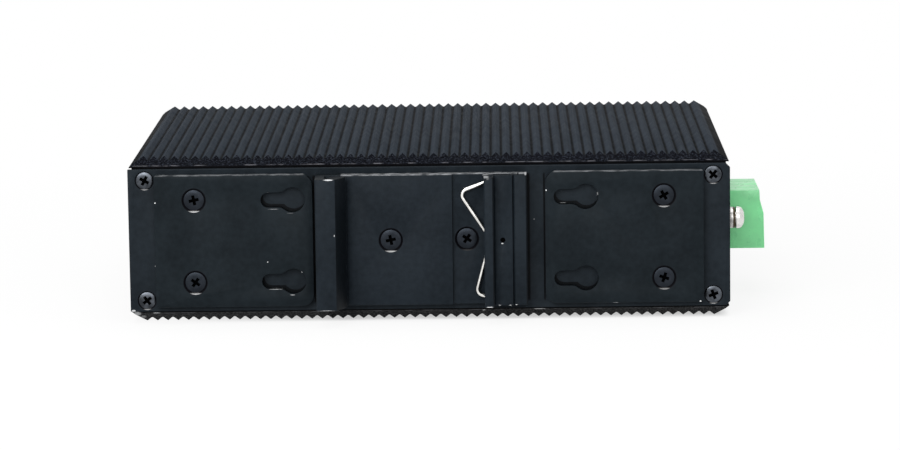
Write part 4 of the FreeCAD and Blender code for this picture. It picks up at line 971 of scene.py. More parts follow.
@dataclass(frozen=True)
class PlasticFinish:
    """Moulded plastic, rubber or lacquer.

    Attributes:
        name: The material's name.
        colour: The plastic's colour.
        rough: Its roughness.
        grain: The size of its texture, in millimetres.
        depth: How high the texture stands.
        spread: How far the colour drifts, as a share.
        clear: How much light goes through.
        gloss: The shader's specular level.
    """

    name: str
    colour: Rgb
    rough: float
    grain: float = 0.25
    depth: float = 0.006
    spread: float = 0.12
    clear: float = 0.0
    gloss: float = 0.5

    def make(self) -> bpy.types.Material:
        """Builds the material.

        Returns:
            The material.
        """
        sheet = Sheet(self.name)
        sheet.set(Transmission_Weight=self.clear, IOR=1.49, Specular_IOR_Level=self.gloss)
        sheet.colour(sheet.ramp(sheet.noise(6.0, 3.0), drift(self.colour, self.spread)))
        sheet.roughness(sheet.noise(2.5, 4.0), self.rough - 0.05, self.rough + 0.06)
        sheet.bump(sheet.noise(self.grain, 2.0), self.depth)
        return sheet.material


@dataclass(frozen=True)
class BoardFinish:
    """Green solder mask over copper tracks.

    Attributes:
        name: The material's name.
        mask: The mask's colour.
        track: Its colour over copper.
        pitch: The tracks' pitch, in millimetres.
        run: How many pitches one straight run of tracks is long.
    """

    name: str = "solder_mask"
    mask: Rgb = (0.012, 0.075, 0.035)
    track: Rgb = (0.03, 0.15, 0.07)
    pitch: float = 1.1
    run: int = 8

    def make(self) -> bpy.types.Material:
        """Builds the material.

        Returns:
            The material.
        """
        sheet = Sheet(self.name)
        bricks = sheet.node("ShaderNodeTexBrick")
        bricks.inputs["Scale"].default_value = 1 / (self.pitch * self.run * MM)
        bricks.inputs["Mortar Size"].default_value = 0.03
        sheet.join(sheet.place, bricks.inputs["Vector"])
        lines = bricks.outputs["Fac"]
        sheet.colour(sheet.mix(lines, self.mask, self.track))
        sheet.roughness(sheet.noise(4.0, 4.0), 0.28, 0.4)
        sheet.bump(sheet.math("ADD", lines, sheet.times(sheet.noise(0.3, 2.0), 0.3)), 0.03)
        return sheet.material


@dataclass(frozen=True)
class ScrewSize:
    """Sizes of one countersunk screw and its seat, in millimetres.

    Attributes:
        head_r: Radius of the head.
        cone: Depth of the head's cone.
        shank_r: Radius of the shank.
        length: Length of the whole screw.
        seat_r: Radius of its seat at the sheet's face.
        seat_cone: Depth of the seat's cone.
        hole_r: Radius of the hole through the sheet.
        sunk: How far the head lies under the sheet's face.
    """

    head_r: float
    cone: float
    shank_r: float
    length: float
    seat_r: float
    seat_cone: float
    hole_r: float
    sunk: float


CORNER_SCREW = ScrewSize(2.0, 1.0, 1.25, 7.9, seat_r=2.34, seat_cone=1.05, hole_r=1.35, sunk=0.1)
PLATE_SCREW = ScrewSize(2.42, 1.15, 1.5, 5.55, seat_r=2.86, seat_cone=1.5, hole_r=1.6, sunk=0.25)


@dataclass
class CaseSizes:
    """Sizes that several sub-assemblies share, in millimetres.

    Attributes:
        length: Length of the covers.
        panel_half: Half the panels' height.
        panel_rear: The rear panel's outer face along Y.
        thick: Sheet thickness.
        depth: Depth of the covers.
        crest: Height of the covers' teeth over mid-height.
        tooth: How deep the teeth are.
        seam: Height of the covers' lower edge.
        screw_x: The corner screws' place along X.
        screw_z: Their place along Z.
        bracket_face: The brackets' outer face along Y.
        bracket_screw_x: The bracket screws' place along X.
        bracket_screw_z: Their place along Z.
        keyhole_x: The centres of the left and of the right bracket's slots along X.
        keyhole_z: Their place along Z.
        clip_screws: The clip screws' places along X and the faces that they sit in along Y.
    """

    length: float = 143.0
    panel_half: float = 17.1
    panel_rear: float = 3.0
    thick: float = 1.2
    depth: float = 100.0
    crest: float = 19.95
    tooth: float = 0.95
    seam: float = 17.35
    screw_x: float = 67.6
    screw_z: float = 14.45
    bracket_face: float = 1.0
    bracket_screw_x: float = 55.8
    bracket_screw_z: float = 9.9
    keyhole_x: Spot = (-38.1, 31.5)
    keyhole_z: float = 9.8
    clip_screws: tuple[Spot, ...] = ((-9.1, 0.0), (9.0, 1.0))

    @property
    def start(self) -> float:
        """Where the covers start along Y."""
        return self.panel_rear + self.thick

    @property
    def end(self) -> float:
        """Where the covers end along Y."""
        return self.start + self.depth

    @property
    def front(self) -> float:
        """The front panel's outer face along Y."""
        return self.end + self.thick

    def corners(self) -> list[Spot]:
        """Places of the corner screws."""
        return [(sx * self.screw_x, sz * self.screw_z) for sx in (-1, 1) for sz in (-1, 1)]

    def bracket_screws(self) -> list[Spot]:
        """Places of the bracket screws, the upper one of each pair first."""
        return [(sx * self.bracket_screw_x, sz * self.bracket_screw_z) for sx in (-1, 1) for sz in (1, -1)]


class Look:
    """Every finish of the switch, built once.

    Attributes:
        plate_chips: Bare spots on the rear panel and the brackets; the thin ones along the keyholes' low edges are bare
            edges painted brighter as a highlight where those edges catch the light.
        clip_chips: Bare spots on the rail clip.
        cover_scuffs: Bare spots on the lower cover's rear edge.
        floor_lit_grains: The lower cover's grains, painted paler as the light that the floor throws up on them.
    """

    # The thin chips along the keyholes' low edges are partly painted highlight, where those edges catch the light.
    plate_chips = (
        Chip(-65.0, 9.4, 0.16, 0.16), Chip(-65.4, -6.1, 0.14, 0.14), Chip(-38.2, 11.5), Chip(-38.5, -5.1),
        Chip(-30.4, -7.9, 0.28, 0.2), Chip(27.9, 11.4, 0.16, 0.2), Chip(64.4, -15.7, 0.24, 0.2),
        Chip(40.1, 10.3, 0.1, 0.55, 0.5), Chip(31.9, 8.1, 0.8, 0.08, 0.3), Chip(-32.7, -13.1, 0.6, 0.08, 0.6),
        Chip(-36.9, 7.6, 1.3, 0.08, 0.25), Chip(-32.9, 6.6, 0.8, 0.08, 0.12), Chip(-36.75, -11.7, 1.6, 0.09, 0.35),
        Chip(25.0, 4.2, 0.1, 0.1, 0.7), Chip(-70.9, -16.9, 0.5, 0.25, 0.8), Chip(44.2, -15.85, 0.7, 0.1, 0.6))
    clip_chips = (
        Chip(-23.4, 15.7, 1.15, 0.3, y=-7.2, deep=0.6), Chip(-24.3, -15.7, 2.4, 0.2), Chip(-22.2, 2.3, 0.13, 0.25),
        Chip(14.3, -15.6, 0.95, 0.2), Chip(16.6, -15.6, 0.25, 0.14), Chip(19.1, -15.6, 0.3, 0.14),
        Chip(20.6, -15.6, 0.25, 0.14), Chip(13.6, 15.2, 0.8, 0.36, 0.35), Chip(23.0, 15.6, 0.22, 0.12, 0.5),
        Chip(17.4, -0.7, 0.3, 0.14, 0.9, -2.4, 0.6))
    cover_scuffs = (
        Chip(-70.2, -17.9, 1.0, 0.7, 0.5), Chip(-68.8, -18.8, 0.8, 0.4, 0.3), Chip(-65.6, -17.75, 1.0, 0.12, 0.9),
        Chip(12.8, -17.9, 0.5, 0.14, 0.7), Chip(26.1, -17.7, 1.6, 0.12, 0.7))
    floor_lit_grains = ((0.006, 0.006, 0.007), (0.03, 0.031, 0.032), (0.065, 0.066, 0.066))

    def __init__(self, case: CaseSizes) -> None:
        """Builds the finishes.

        Args:
            case: The case's sizes.
        """
        ribs = {"valley": case.crest - case.tooth, "seam": case.seam}
        self.cover = RibFinish("granular_black", **ribs).make()
        # The lower cover's scuffs are wear; its paler grains are painted light from the floor below.
        self.lower_cover = RibFinish("granular_black_worn", **ribs, grains=self.floor_lit_grains,
                                     chips=self.cover_scuffs).make()
        self._paint(case)
        self._metal()
        self._moulded()

    def _paint(self, case: CaseSizes) -> None:
        """Builds the painted plates' finishes, with their chips, the painted shadow and painted highlight in their
        screws' seats, the painted shadow strips and the shade at the keyholes.

        Args:
            case: The case's sizes.
        """
        # Each seat is painted dark as its shadow, with a painted highlight of bare metal on its low edge; the numbers
        # say how bright that highlight is.
        corners = tuple((x, z, 0.8) for x, z in case.corners())
        brackets = tuple((x, z, bare) for (x, z), bare in zip(case.bracket_screws(), (1.0, 0.8, 0.7, 0.5)))
        clip = tuple((x, 0.0, bare) for (x, _), bare in zip(case.clip_screws, (0.9, 0.06)))
        keyholes = tuple((x, side * case.keyhole_z) for x in case.keyhole_x for side in (1, -1))
        # The panel's strips are painted shadows in the gaps beside the clip and the brackets.
        self.panel = PaintFinish("satin_black_panel", (0.0104, 0.0144, 0.0185), chips=self.plate_chips,
                                 seats=corners, seat_r=CORNER_SCREW.seat_r, keyholes=keyholes,
                                 shade_strips=((23.3, 24.0), (27.2, 27.6), (-27.6, -27.0))).make()
        self.bracket = PaintFinish("satin_black_bracket", (0.0079, 0.0115, 0.0144), chips=self.plate_chips,
                                   seats=brackets, rim_from=15.78, rim_shine=0.33, shaded_hole_walls=True).make()
        self.clip = PaintFinish("satin_black_clip", (0.0098, 0.0138, 0.0182), chips=self.clip_chips, seats=clip,
                                rim_from=15.55, rim_left=-20.6, rim_shine=0.6, side_shade=0.6).make()

    def _metal(self) -> None:
        """Builds the metals."""
        plated = (0.72, 0.71, 0.69)
        self.black_steel = SteelFinish("blackened_steel", (0.019, 0.0225, 0.028), 0.4).make()
        self.worn_steel = SteelFinish("worn_black_steel", (0.066, 0.073, 0.084), 0.3, mark=0.5, spread=0.5).make()
        self.bright_steel = SteelFinish("plated_steel", plated, 0.22).make()
        self.stained_steel = SteelFinish("stained_steel", plated, 0.3, stain_from=73.5).make()
        self.wire_steel = SteelFinish("spring_wire", (0.8, 0.79, 0.76), 0.2, 0.1, (4.0, 1.0, 4.0)).make()
        self.shield = SteelFinish("tinned_shield", (0.66, 0.66, 0.66), 0.25, 0.2, (1.0, 6.0, 1.0)).make()
        self.gold = SteelFinish("gilded_contact", (0.9, 0.62, 0.22), 0.2).make()

    def _moulded(self) -> None:
        """Builds the plastics, the board and what stands on it."""
        # Near-black: the recesses' own black deepened as painted shade, and painted shade on the clip's pin deep in its
        # slot.
        self.recess = PlasticFinish("recess_black", (0.0006, 0.0006, 0.0008), 0.8, gloss=0.02).make()
        self.green = PlasticFinish("green_moulding", (0.2, 0.74, 0.31), 0.3, 0.3, 0.01, gloss=0.7).make()
        self.jack = PlasticFinish("black_moulding", (0.018, 0.018, 0.019), 0.45).make()
        self.chip = PlasticFinish("moulded_package", (0.028, 0.028, 0.03), 0.5, 0.12, 0.01).make()
        self.pad = PlasticFinish("soft_pad", (0.24, 0.27, 0.33), 0.7, 0.5, 0.03).make()
        self.ferrite = PlasticFinish("ferrite_core", (0.06, 0.06, 0.062), 0.55, 0.2, 0.02).make()
        self.sleeve = PlasticFinish("shrunk_sleeve", (0.02, 0.022, 0.04), 0.3).make()
        self.clear = PlasticFinish("frosted_clear", (0.85, 0.88, 0.84), 0.22, 0.4, 0.003, 0.03, clear=0.75).make()
        self.board = BoardFinish().make()


def place_piece(piece: Piece, body: str, finish: bpy.types.Material, nodes: Sequence[str] = ()) -> Piece:
    """Dresses a new piece, sets it on its body and hides what it stands for.

    Args:
        piece: The finished piece.
        body: The body that it rides on, or nothing for a piece that is set on none.
        finish: Its material.
        nodes: The nodes that it replaces.

    Returns:
        The piece.
    """
    piece.data.materials.clear()
    piece.data.materials.append(finish)
    if body:
        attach(piece, body)
    if nodes:
        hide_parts(*nodes)
    log.info("%s: %d faces on %s", piece.name, len(piece.data.polygons), body or "both bodies")
    return piece


def dress_nodes(names: Sequence[str], finish: bpy.types.Material) -> None:
    """Gives modelled nodes a finish as they are.

    Args:
        names: The nodes' names.
        finish: The material.
    """
    for name in names:
        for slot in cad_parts[name].material_slots:
            slot.material = finish
        log.info("%s: kept, with finish %s", name, finish.name)


@dataclass
class FinnedCovers:
    """The two extruded covers with V-shaped teeth and open screw ports.

    Attributes:
        case: The case's sizes.
        look: The finishes.
        teeth: How many teeth one cover has.
        valley: Width of the flat between two teeth, in millimetres.
        bevel: How far the first crest stands in from the side.
        foot: Width and height of the bevel's first step.
        flank: Thickness of the side wall.
        rim: Height of the rim's inner face over mid-height.
        ledge: How far the rim reaches in from the side.
        inner: Height of the wall's inner face.
        port_r: Radius of a screw port.
        port_wall: Its wall.
        slot: Width of its slot.
        chamfer: How far the ends are milled back at the crests.
    """

    case: CaseSizes
    look: Look
    teeth: int = 56
    valley: float = 0.3
    bevel: float = 3.54
    foot: float = 0.85
    flank: float = 0.8
    rim: float = 16.0
    ledge: float = 7.0
    inner: float = 16.8
    port_r: float = 1.3
    port_wall: float = 1.0
    slot: float = 0.9
    chamfer: float = 1.4

    def outline(self) -> list[Spot]:
        """Traces the upper cover's section.

        Returns:
            Its points, over the teeth and back along the inside.
        """
        crest, seam, rim = self.case.crest, self.case.seam, self.rim
        edge, foot, flank = self.case.length / 2, self.foot, self.flank
        ledge, step = self.ledge, self.inner - self.rim
        span = self.case.length - 2 * self.bevel
        pitch = span / (self.teeth - 1)
        line = [(-edge, seam), (-edge + foot, seam + foot)]
        for index in range(self.teeth):
            tip = -span / 2 + index * pitch
            line.append((tip, crest))
            if index < self.teeth - 1:
                line.append((tip + pitch / 2 - self.valley / 2, crest - self.case.tooth))
                line.append((tip + pitch / 2 + self.valley / 2, crest - self.case.tooth))
        line += [(edge - foot, seam + foot), (edge, seam), (edge - flank, seam), (edge - flank, rim)]
        line += self.port(self.case.screw_x)
        line += [(edge - ledge, rim), (edge - ledge - step, self.inner), (-edge + ledge + step, self.inner),
                 (-edge + ledge, rim)]
        line += self.port(-self.case.screw_x)
        line += [(-edge + flank, rim), (-edge + flank, seam)]
        return line

    def port(self, x: float) -> list[Spot]:
        """Traces one screw port under the rim, from its right side to its left.

        Args:
            x: The port's place along X.

        Returns:
            Its points, in through the slot and out again.
        """
        z = self.case.screw_z
        wide = self.port_r + self.port_wall
        lean_out = math.degrees(math.asin(self.slot / 2 / wide))
        lean_in = math.degrees(math.asin(self.slot / 2 / self.port_r))
        points = [(x + wide, self.rim)]
        points += arc(x, z, wide, 0, -90 + lean_out, 20)
        points += arc(x, z, self.port_r, -90 + lean_in, 270 - lean_in, 20)
        points += arc(x, z, wide, -90 - lean_out, -180, 20)
        return points + [(x - wide, self.rim)]

    def build(self) -> None:
        """Builds both covers."""
        cover = trace("finned_cover_upper", self.outline(), Axis.Y, self.case.start, self.case.end)
        rise = self.case.crest - self.case.seam
        for at, way in ((self.case.start, -1.0), (self.case.end, 1.0)):
            with whole(cover):
                bpy.ops.mesh.bisect(plane_co=Vector((0, at, self.case.seam)) * MM,
                                    plane_no=(0, way * rise, self.chamfer), use_fill=True, clear_outer=True)
                face_outwards()
        soften(cover, 0.11, 2, 30.0)
        lower = mirror_copy(cover, "finned_cover_lower", Axis.Z)
        place_piece(cover, "case", self.look.cover, ["upper_cover"])
        place_piece(lower, "case", self.look.lower_cover, ["lower_cover"])


def seat_cutter(x: float, y: float, z: float, size: ScrewSize, way: float = 1.0) -> Piece:
    """Makes the cutter of a countersunk seat.

    Args:
        x: The seat's place along X.
        y: The sheet's outer face along Y.
        z: The seat's place along Z.
        size: The screw's and the seat's sizes.
        way: 1 to cut towards +Y and -1 towards -Y.

    Returns:
        The cutter.
    """
    over, through = -1.0 * way, 6.0 * way
    profile = [(0.0, over), (size.seat_r, over), (size.seat_r, 0.0), (size.hole_r, size.seat_cone * way),
               (size.hole_r, through), (0.0, through)]
    return turn("seat", profile, Axis.Y, (x, y, z), 36)


@dataclass
class Panels:
    """The flat rear and front panels and the two folded end panels.

    Attributes:
        case: The case's sizes.
        look: The finishes.
        ports: The ports, whose windows the front panel has.
        over: How far the flat panels stand out over the covers' sides, in millimetres.
        cut: How far the rear panel's right corners are cut back.
        gap: The windows' clearance around the jacks.
        light_r: Radius of the status lights' holes.
    """

    case: CaseSizes
    look: Look
    ports: "NetworkPorts"
    over: float = 0.1
    cut: float = 1.0
    gap: float = 0.15
    light_r: float = 1.6

    def build(self) -> None:
        """Builds the two flat panels and dresses the folded ones."""
        self._rear()
        self._front()
        dress_nodes(["left_end_panel", "right_end_panel"], self.look.panel)

    def _rear(self) -> None:
        """Builds the rear panel, with its right corners cut."""
        edge, tall, cut = self.case.length / 2 + self.over, self.case.panel_half, self.cut
        outline = [(-edge, -tall), (edge - cut, -tall), (edge, -tall + cut), (edge, tall - cut),
                   (edge - cut, tall), (-edge, tall)]
        panel = trace("rear_sheet", outline, Axis.Y, self.case.panel_rear, self.case.start)
        carve(panel, [seat_cutter(x, self.case.panel_rear, z, CORNER_SCREW) for x, z in self.case.corners()])
        soften(panel, 0.14)
        place_piece(panel, "case", self.look.panel, ["rear_panel"])

    def _front(self) -> None:
        """Builds the front panel with the ports' windows and the status lights' holes."""
        edge, tall = self.case.length / 2 + self.over, self.case.panel_half
        panel = block("front_sheet", (-edge, self.case.end, -tall), (edge, self.case.front, tall))
        cutters = [seat_cutter(x, self.case.front, z, CORNER_SCREW, -1.0) for x, z in self.case.corners()]
        half, low = self.ports.width / 2 + self.gap, self.ports.base - self.gap
        high = self.ports.base + self.ports.height + self.gap
        for x in self.ports.places():
            cutters.append(block("window", (x - half, self.case.end - 1, low), (x + half, self.case.front + 1, high)))
        for x in self.ports.status:
            cutters.append(rod("hole", self.light_r, -3, 3, Axis.Y, (x, self.case.front, self.ports.status_z), 36))
        carve(panel, cutters)
        soften(panel, 0.12)
        place_piece(panel, "case", self.look.panel, ["front_panel"])


@dataclass
class Screws:
    """Countersunk cross-recess screws of two sizes, each size modelled once.

    Attributes:
        look: The finishes.
        cross: Width of the cross recess, in millimetres.
        sink: Its depth.
        wing: Half the thickness of the cross's wings, as a share of its width.
        taper: Width of the cross at its foot, as a share of that at the surface.
    """

    look: Look
    cross: float = 2.6
    sink: float = 1.1
    wing: float = 0.155
    taper: float = 0.7

    def recess(self, size: float, depth: float) -> Piece:
        """Makes the cutter of a cross recess that points along +Y from the origin.

        Args:
            size: The cross's width at the surface, in millimetres.
            depth: Its depth.

        Returns:
            The cutter.
        """
        wings, over = [], -0.4
        half, thick = size / 2, size * self.wing
        for x, z in ((half, thick), (thick, half)):
            wing = block("wing", (-x, over, -z), (x, depth, z))
            pick(wing, lambda spot: spot.y > depth - 0.01)
            with editing(wing):
                bpy.ops.transform.resize(value=(self.taper, 1.0, self.taper), center_override=(0, depth * MM, 0))
            wings.append(wing)
        apply_modifier(wings[0], "BOOLEAN", operation="UNION", solver="EXACT", object=wings[1])
        bpy.data.objects.remove(wings[1], do_unlink=True)
        return wings[0]

    def model(self, size: ScrewSize) -> Piece:
        """Models one screw along +Y with its head at the origin.

        Args:
            size: The screw's sizes.

        Returns:
            The screw.
        """
        head_r, shank_r, length = size.head_r, size.shank_r, size.length
        profile = [(0, 0.02), (head_r * 0.55, 0.0), (head_r * 0.9, 0.03), (head_r, 0.12), (head_r * 0.97, 0.22),
                   (shank_r, size.cone), (shank_r, length - 0.4), (shank_r * 0.75, length), (0, length)]
        screw = turn("screw", profile, Axis.Y, (0, 0, 0), 40)
        carve(screw, [self.recess(self.cross, self.sink)])
        return smooth(screw, 35.0)

    def blacken(self, piece: Piece, places: Sequence[tuple[float, float, float, float]], way: float) -> None:
        """Gives the recesses' faces a near-black finish: partly their own black, partly painted shade deep in them.

        Args:
            piece: The joined screws.
            places: Where the heads are.
            way: 1 for screws that point along +Y and -1 for -Y.
        """
        piece.data.materials.append(self.look.recess)
        shallow, deep = 0.08, self.sink + 0.1
        for face in piece.data.polygons:
            spot = face.center / MM
            for x, y, z, _ in places:
                across = math.hypot(spot.x - x, spot.z - z)
                if across < self.cross / 2 and shallow < (spot.y - y) * way < deep:
                    face.material_index = 1

    def set_out(self, name: str, size: ScrewSize, places: Sequence[tuple[float, float, float, float]],
                node: str, finish: bpy.types.Material, flip: bool = False) -> None:
        """Models a screw, copies it to each place and joins the copies.

        Args:
            name: The joined piece's name.
            size: The screw's sizes.
            places: For each screw its place in millimetres and its turn in degrees.
            node: The node that the set replaces.
            finish: The heads' finish.
            flip: True for screws that point along -Y.
        """
        master, made = self.model(size), []
        for number, (x, y, z, angle) in enumerate(places):
            screw = copy_to(master, f"{name}_{number}", (0, 0, 0))
            with whole(screw):
                rotate(angle, Axis.Y)
                if flip:
                    rotate(180, Axis.Z)
                move((x, y, z))
            made.append(screw)
        bpy.data.objects.remove(master, do_unlink=True)
        piece = place_piece(join(made, name), "case", finish, [node])
        self.blacken(piece, places, -1.0 if flip else 1.0)

    def build(self, case: CaseSizes) -> None:
        """Builds all the countersunk screws, each with the turn that its cross has.

        Args:
            case: The case's sizes.
        """
        rear_y, front_y = case.panel_rear + CORNER_SCREW.sunk, case.front - CORNER_SCREW.sunk
        corners = list(zip(case.corners(), (38, 62, 20, 51)))
        rear = [(x, rear_y, z, angle) for (x, z), angle in corners]
        front = [(x, front_y, z, angle) for (x, z), angle in corners]
        brackets = [(x, case.bracket_face + PLATE_SCREW.sunk, z, angle)
                    for (x, z), angle in zip(case.bracket_screws(), (12, 55, 30, 71))]
        clip = [(x, face + PLATE_SCREW.sunk, 0.0, angle) for (x, face), angle in zip(case.clip_screws, (12, 55))]
        worn, black = self.look.worn_steel, self.look.black_steel
        self.set_out("corner_screws_rear", CORNER_SCREW, rear, "rear_corner_screws", worn)
        self.set_out("corner_screws_front", CORNER_SCREW, front, "front_corner_screws", worn, True)
        self.set_out("bracket_screw_set", PLATE_SCREW, brackets, "bracket_screws", black)
        self.set_out("clip_screw_set", PLATE_SCREW, clip, "rail_clip_screws", black)


@dataclass
class WallBrackets:
    """Two flat brackets with keyholes, screwed to the rear panel.

    Attributes:
        case: The case's sizes.
        look: The finishes.
        inner: Distance of the inner end from the middle, in millimetres.
        outer: Distance of the outer end.
        half: Half the height.
        inner_r: Radius of the inner end's corners.
        outer_r: Radius of the outer end's corners.
        slot_r: Radius of the keyholes' slots.
        round_r: Radius of their round ends.
        blend_r: Radius of the bends between the two.
        travel: Distance from a slot's centre to that of its round end.
    """

    case: CaseSizes
    look: Look
    inner: float = 27.6
    outer: float = 65.25
    half: float = 15.85
    inner_r: float = 2.8
    outer_r: float = 0.6
    slot_r: float = 1.8
    round_r: float = 3.0
    blend_r: float = 2.2
    travel: float = 5.7

    def keyhole(self, slot_x: float, z: float) -> Piece:
        """Makes the cutter of one keyhole, its round end to the right.

        Args:
            slot_x: The slot's centre along X.
            z: Its place along Z.

        Returns:
            The cutter.
        """
        blend_r, round_x = self.blend_r, slot_x + self.travel
        rise, reach = self.slot_r + blend_r, self.round_r + blend_r
        blend_x = round_x - math.sqrt(reach ** 2 - rise ** 2)
        lean = math.degrees(math.asin(rise / reach))
        outline = arc(slot_x, z, self.slot_r, 90, 270)
        outline += arc(blend_x, z - rise, blend_r, 90, lean)
        outline += arc(round_x, z, self.round_r, 180 + lean, 540 - lean)[1:]
        outline += arc(blend_x, z + rise, blend_r, -lean, -90)[1:]
        return trace("keyhole", outline, Axis.Y, self.case.bracket_face - 1, self.case.panel_rear + 1)

    def bracket(self, side: int, slot_x: float) -> Piece:
        """Models one bracket.

        Args:
            side: -1 for the left one and 1 for the right one.
            slot_x: The centre of its slots along X.

        Returns:
            The bracket.
        """
        half, key_z = self.half, self.case.keyhole_z
        if side > 0:
            right, right_r, left, left_r = self.outer, self.outer_r, self.inner, self.inner_r
        else:
            right, right_r, left, left_r = -self.inner, self.inner_r, -self.outer, self.outer_r
        outline = arc(right - right_r, half - right_r, right_r, 0, 90, 10)
        outline += arc(left + left_r, half - left_r, left_r, 90, 180, 10)
        outline += arc(left + left_r, -half + left_r, left_r, 180, 270, 10)
        outline += arc(right - right_r, -half + right_r, right_r, 270, 360, 10)
        name = "left_bracket" if side < 0 else "right_bracket"
        plate = trace(name, outline, Axis.Y, self.case.bracket_face, self.case.panel_rear)
        cutters = [self.keyhole(slot_x, key_z), self.keyhole(slot_x, -key_z)]
        cutters += [seat_cutter(x, self.case.bracket_face, z, PLATE_SCREW)
                    for x, z in self.case.bracket_screws() if x * side > 0]
        carve(plate, cutters)
        return soften(plate, 0.16)

    def build(self) -> None:
        """Builds both brackets."""
        left, right = (self.bracket(side, slot_x) for side, slot_x in zip((-1, 1), self.case.keyhole_x))
        place_piece(left, "case", self.look.bracket, ["left_wall_bracket"])
        place_piece(right, "case", self.look.bracket, ["right_wall_bracket"])


@dataclass
class RailClip:
    """The fixed hook, the sprung jaw with its pin, and the wire spring.

    Attributes:
        case: The case's sizes.
        look: The finishes.
        half: Half the clip's width along Z, in millimetres.
        play: How much narrower the jaw is at each end.
        pin_x: The pin's place along X.
        pin_z: Its place along Z.
        pin_r: Its radius.
        slot_r: Half the width of its slot in the base.
        travel: Length of the slot between its round ends' centres.
        wire_r: Radius of the spring's wire.
        wire_y: Height of the wire's centre along Y.
        wire_gap: Its clearance around the pin.
        wire_bend: Radius of its bends.
        legs: Where its upper and its lower leg stand, in X and Z.
        hole_z: The places of the legs' holes along Z.
    """

    case: CaseSizes
    look: Look
    half: float = 15.65
    play: float = 0.05
    pin_x: float = 17.5
    pin_z: float = 0.1
    pin_r: float = 0.6
    slot_r: float = 0.8
    travel: float = 2.5
    wire_r: float = 0.5
    wire_y: float = 0.48
    wire_gap: float = 0.1
    wire_bend: float = 1.5
    legs: tuple[Spot, Spot] = ((14.6, 13.9), (14.6, -14.0))
    hole_z: Spot = (13.9, -14.2)

    @staticmethod
    def heights(points: Sequence[Spot]) -> list[Spot]:
        """Turns heights over the rail's seat into places along Y."""
        return [(x, -height) for x, height in points]

    def base(self) -> Piece:
        """Models the extruded base with its hook.

        Returns:
            The base.
        """
        points = [(-26.7, -3.0), (-26.7, 6.9), (-26.4, 7.2), (-21.9, 7.2), (-19.6, 2.8), (-19.6, 1.7), (-19.95, 1.4),
                  (-22.94, 1.4), (-23.8, 5.0), (-24.5, 5.0), (-24.5, -0.25), (-19.35, -0.25), (-19.35, 0.0),
                  (5.6, 0.0), (5.6, -1.0), (19.5, -1.0), (19.5, 1.0), (21.1, 1.0), (21.1, -2.0), (17.4, -2.0),
                  (17.4, -3.0)]
        base = trace("clip_base", self.heights(points), Axis.Z, -self.half, self.half)
        slot = arc(self.pin_x, self.pin_z, self.slot_r, 90, 270, 15)
        slot += arc(self.pin_x + self.travel, self.pin_z, self.slot_r, -90, 90, 15)
        cutters = [seat_cutter(x, face, 0.0, PLATE_SCREW) for x, face in self.case.clip_screws]
        half_gap = 5.5
        cutters.append(block("land_gap", (19.5, -2.0, self.pin_z - half_gap), (22.0, 1.0, self.pin_z + half_gap)))
        cutters.append(trace("pin_slot", slot, Axis.Y, 0.9, 3.2))
        for z in self.hole_z:
            cutters.append(rod("wire_hole", self.wire_r + 0.07, -1, 2.0, Axis.Y, (self.legs[0][0], 0.4, z), 20))
        for cutter in cutters:
            carve(base, [cutter])
        return soften(base, 0.1)

    def jaw(self) -> Piece:
        """Models the extruded sliding jaw.

        Returns:
            The jaw.
        """
        points = [(13.1, 1.4), (13.1, 4.9), (13.4, 5.2), (15.1, 5.2), (15.4, 4.9), (15.4, 2.2), (15.7, 2.5),
                  (19.8, 2.5), (20.1, 1.7), (20.4, 2.0), (23.0, 2.0), (23.3, 1.7), (23.3, -2.9), (17.7, -2.9),
                  (17.7, -2.1), (21.4, -2.1), (21.4, 1.1), (15.25, 1.1), (15.25, 0.09), (14.35, 0.09), (14.35, 1.4)]
        half = self.half - self.play
        jaw = trace("clip_jaw", self.heights(points), Axis.Z, -half, half)
        corner = [(12.0, half + 1), (12.0, half - 1.6), (13.1, half - 1.1), (15.4, half), (15.4, half + 1)]
        carve(jaw, [trace("lip_corner", corner, Axis.Y, -6.2, -2.5)])
        carve(jaw, [rod("pin_hole", self.pin_r, -1, 2.4, Axis.Y, (self.pin_x, -2.5, self.pin_z), 24)])
        return soften(jaw, 0.1)

    def pin(self) -> Piece:
        """Models the pin that the spring pulls on.

        Returns:
            The pin.
        """
        radius, tip = self.pin_r, self.pin_r - 0.1
        profile = [(0, -2.0), (tip, -2.0), (radius, -1.9), (radius, 1.8), (tip, 1.9), (0, 1.9)]
        return smooth(turn("clip_pin", profile, Axis.Y, (self.pin_x, 0, self.pin_z), 28))

    @staticmethod
    def rounded(points: Sequence[Spot], radius: float, count: int = 8) -> list[Spot]:
        """Rounds the inner corners of a line of straight runs.

        Args:
            points: The line's corners.
            radius: The bends' radius.
            count: How many flats make one bend.

        Returns:
            The line with its bends.
        """
        path = [points[0]]
        for before, corner, after in zip(points, points[1:], points[2:]):
            at = Vector(corner)
            back, ahead = (Vector(before) - at).normalized(), (Vector(after) - at).normalized()
            half_turn = back.angle(ahead) / 2
            centre = at + (back + ahead).normalized() * (radius / math.sin(half_turn))
            entry = at + back * (radius / math.tan(half_turn)) - centre
            leave = at + ahead * (radius / math.tan(half_turn)) - centre
            for index in range(count + 1):
                share = index / count
                way = (entry * (1 - share) + leave * share).normalized() * radius
                path.append(tuple(centre + way))
        return path + [points[-1]]

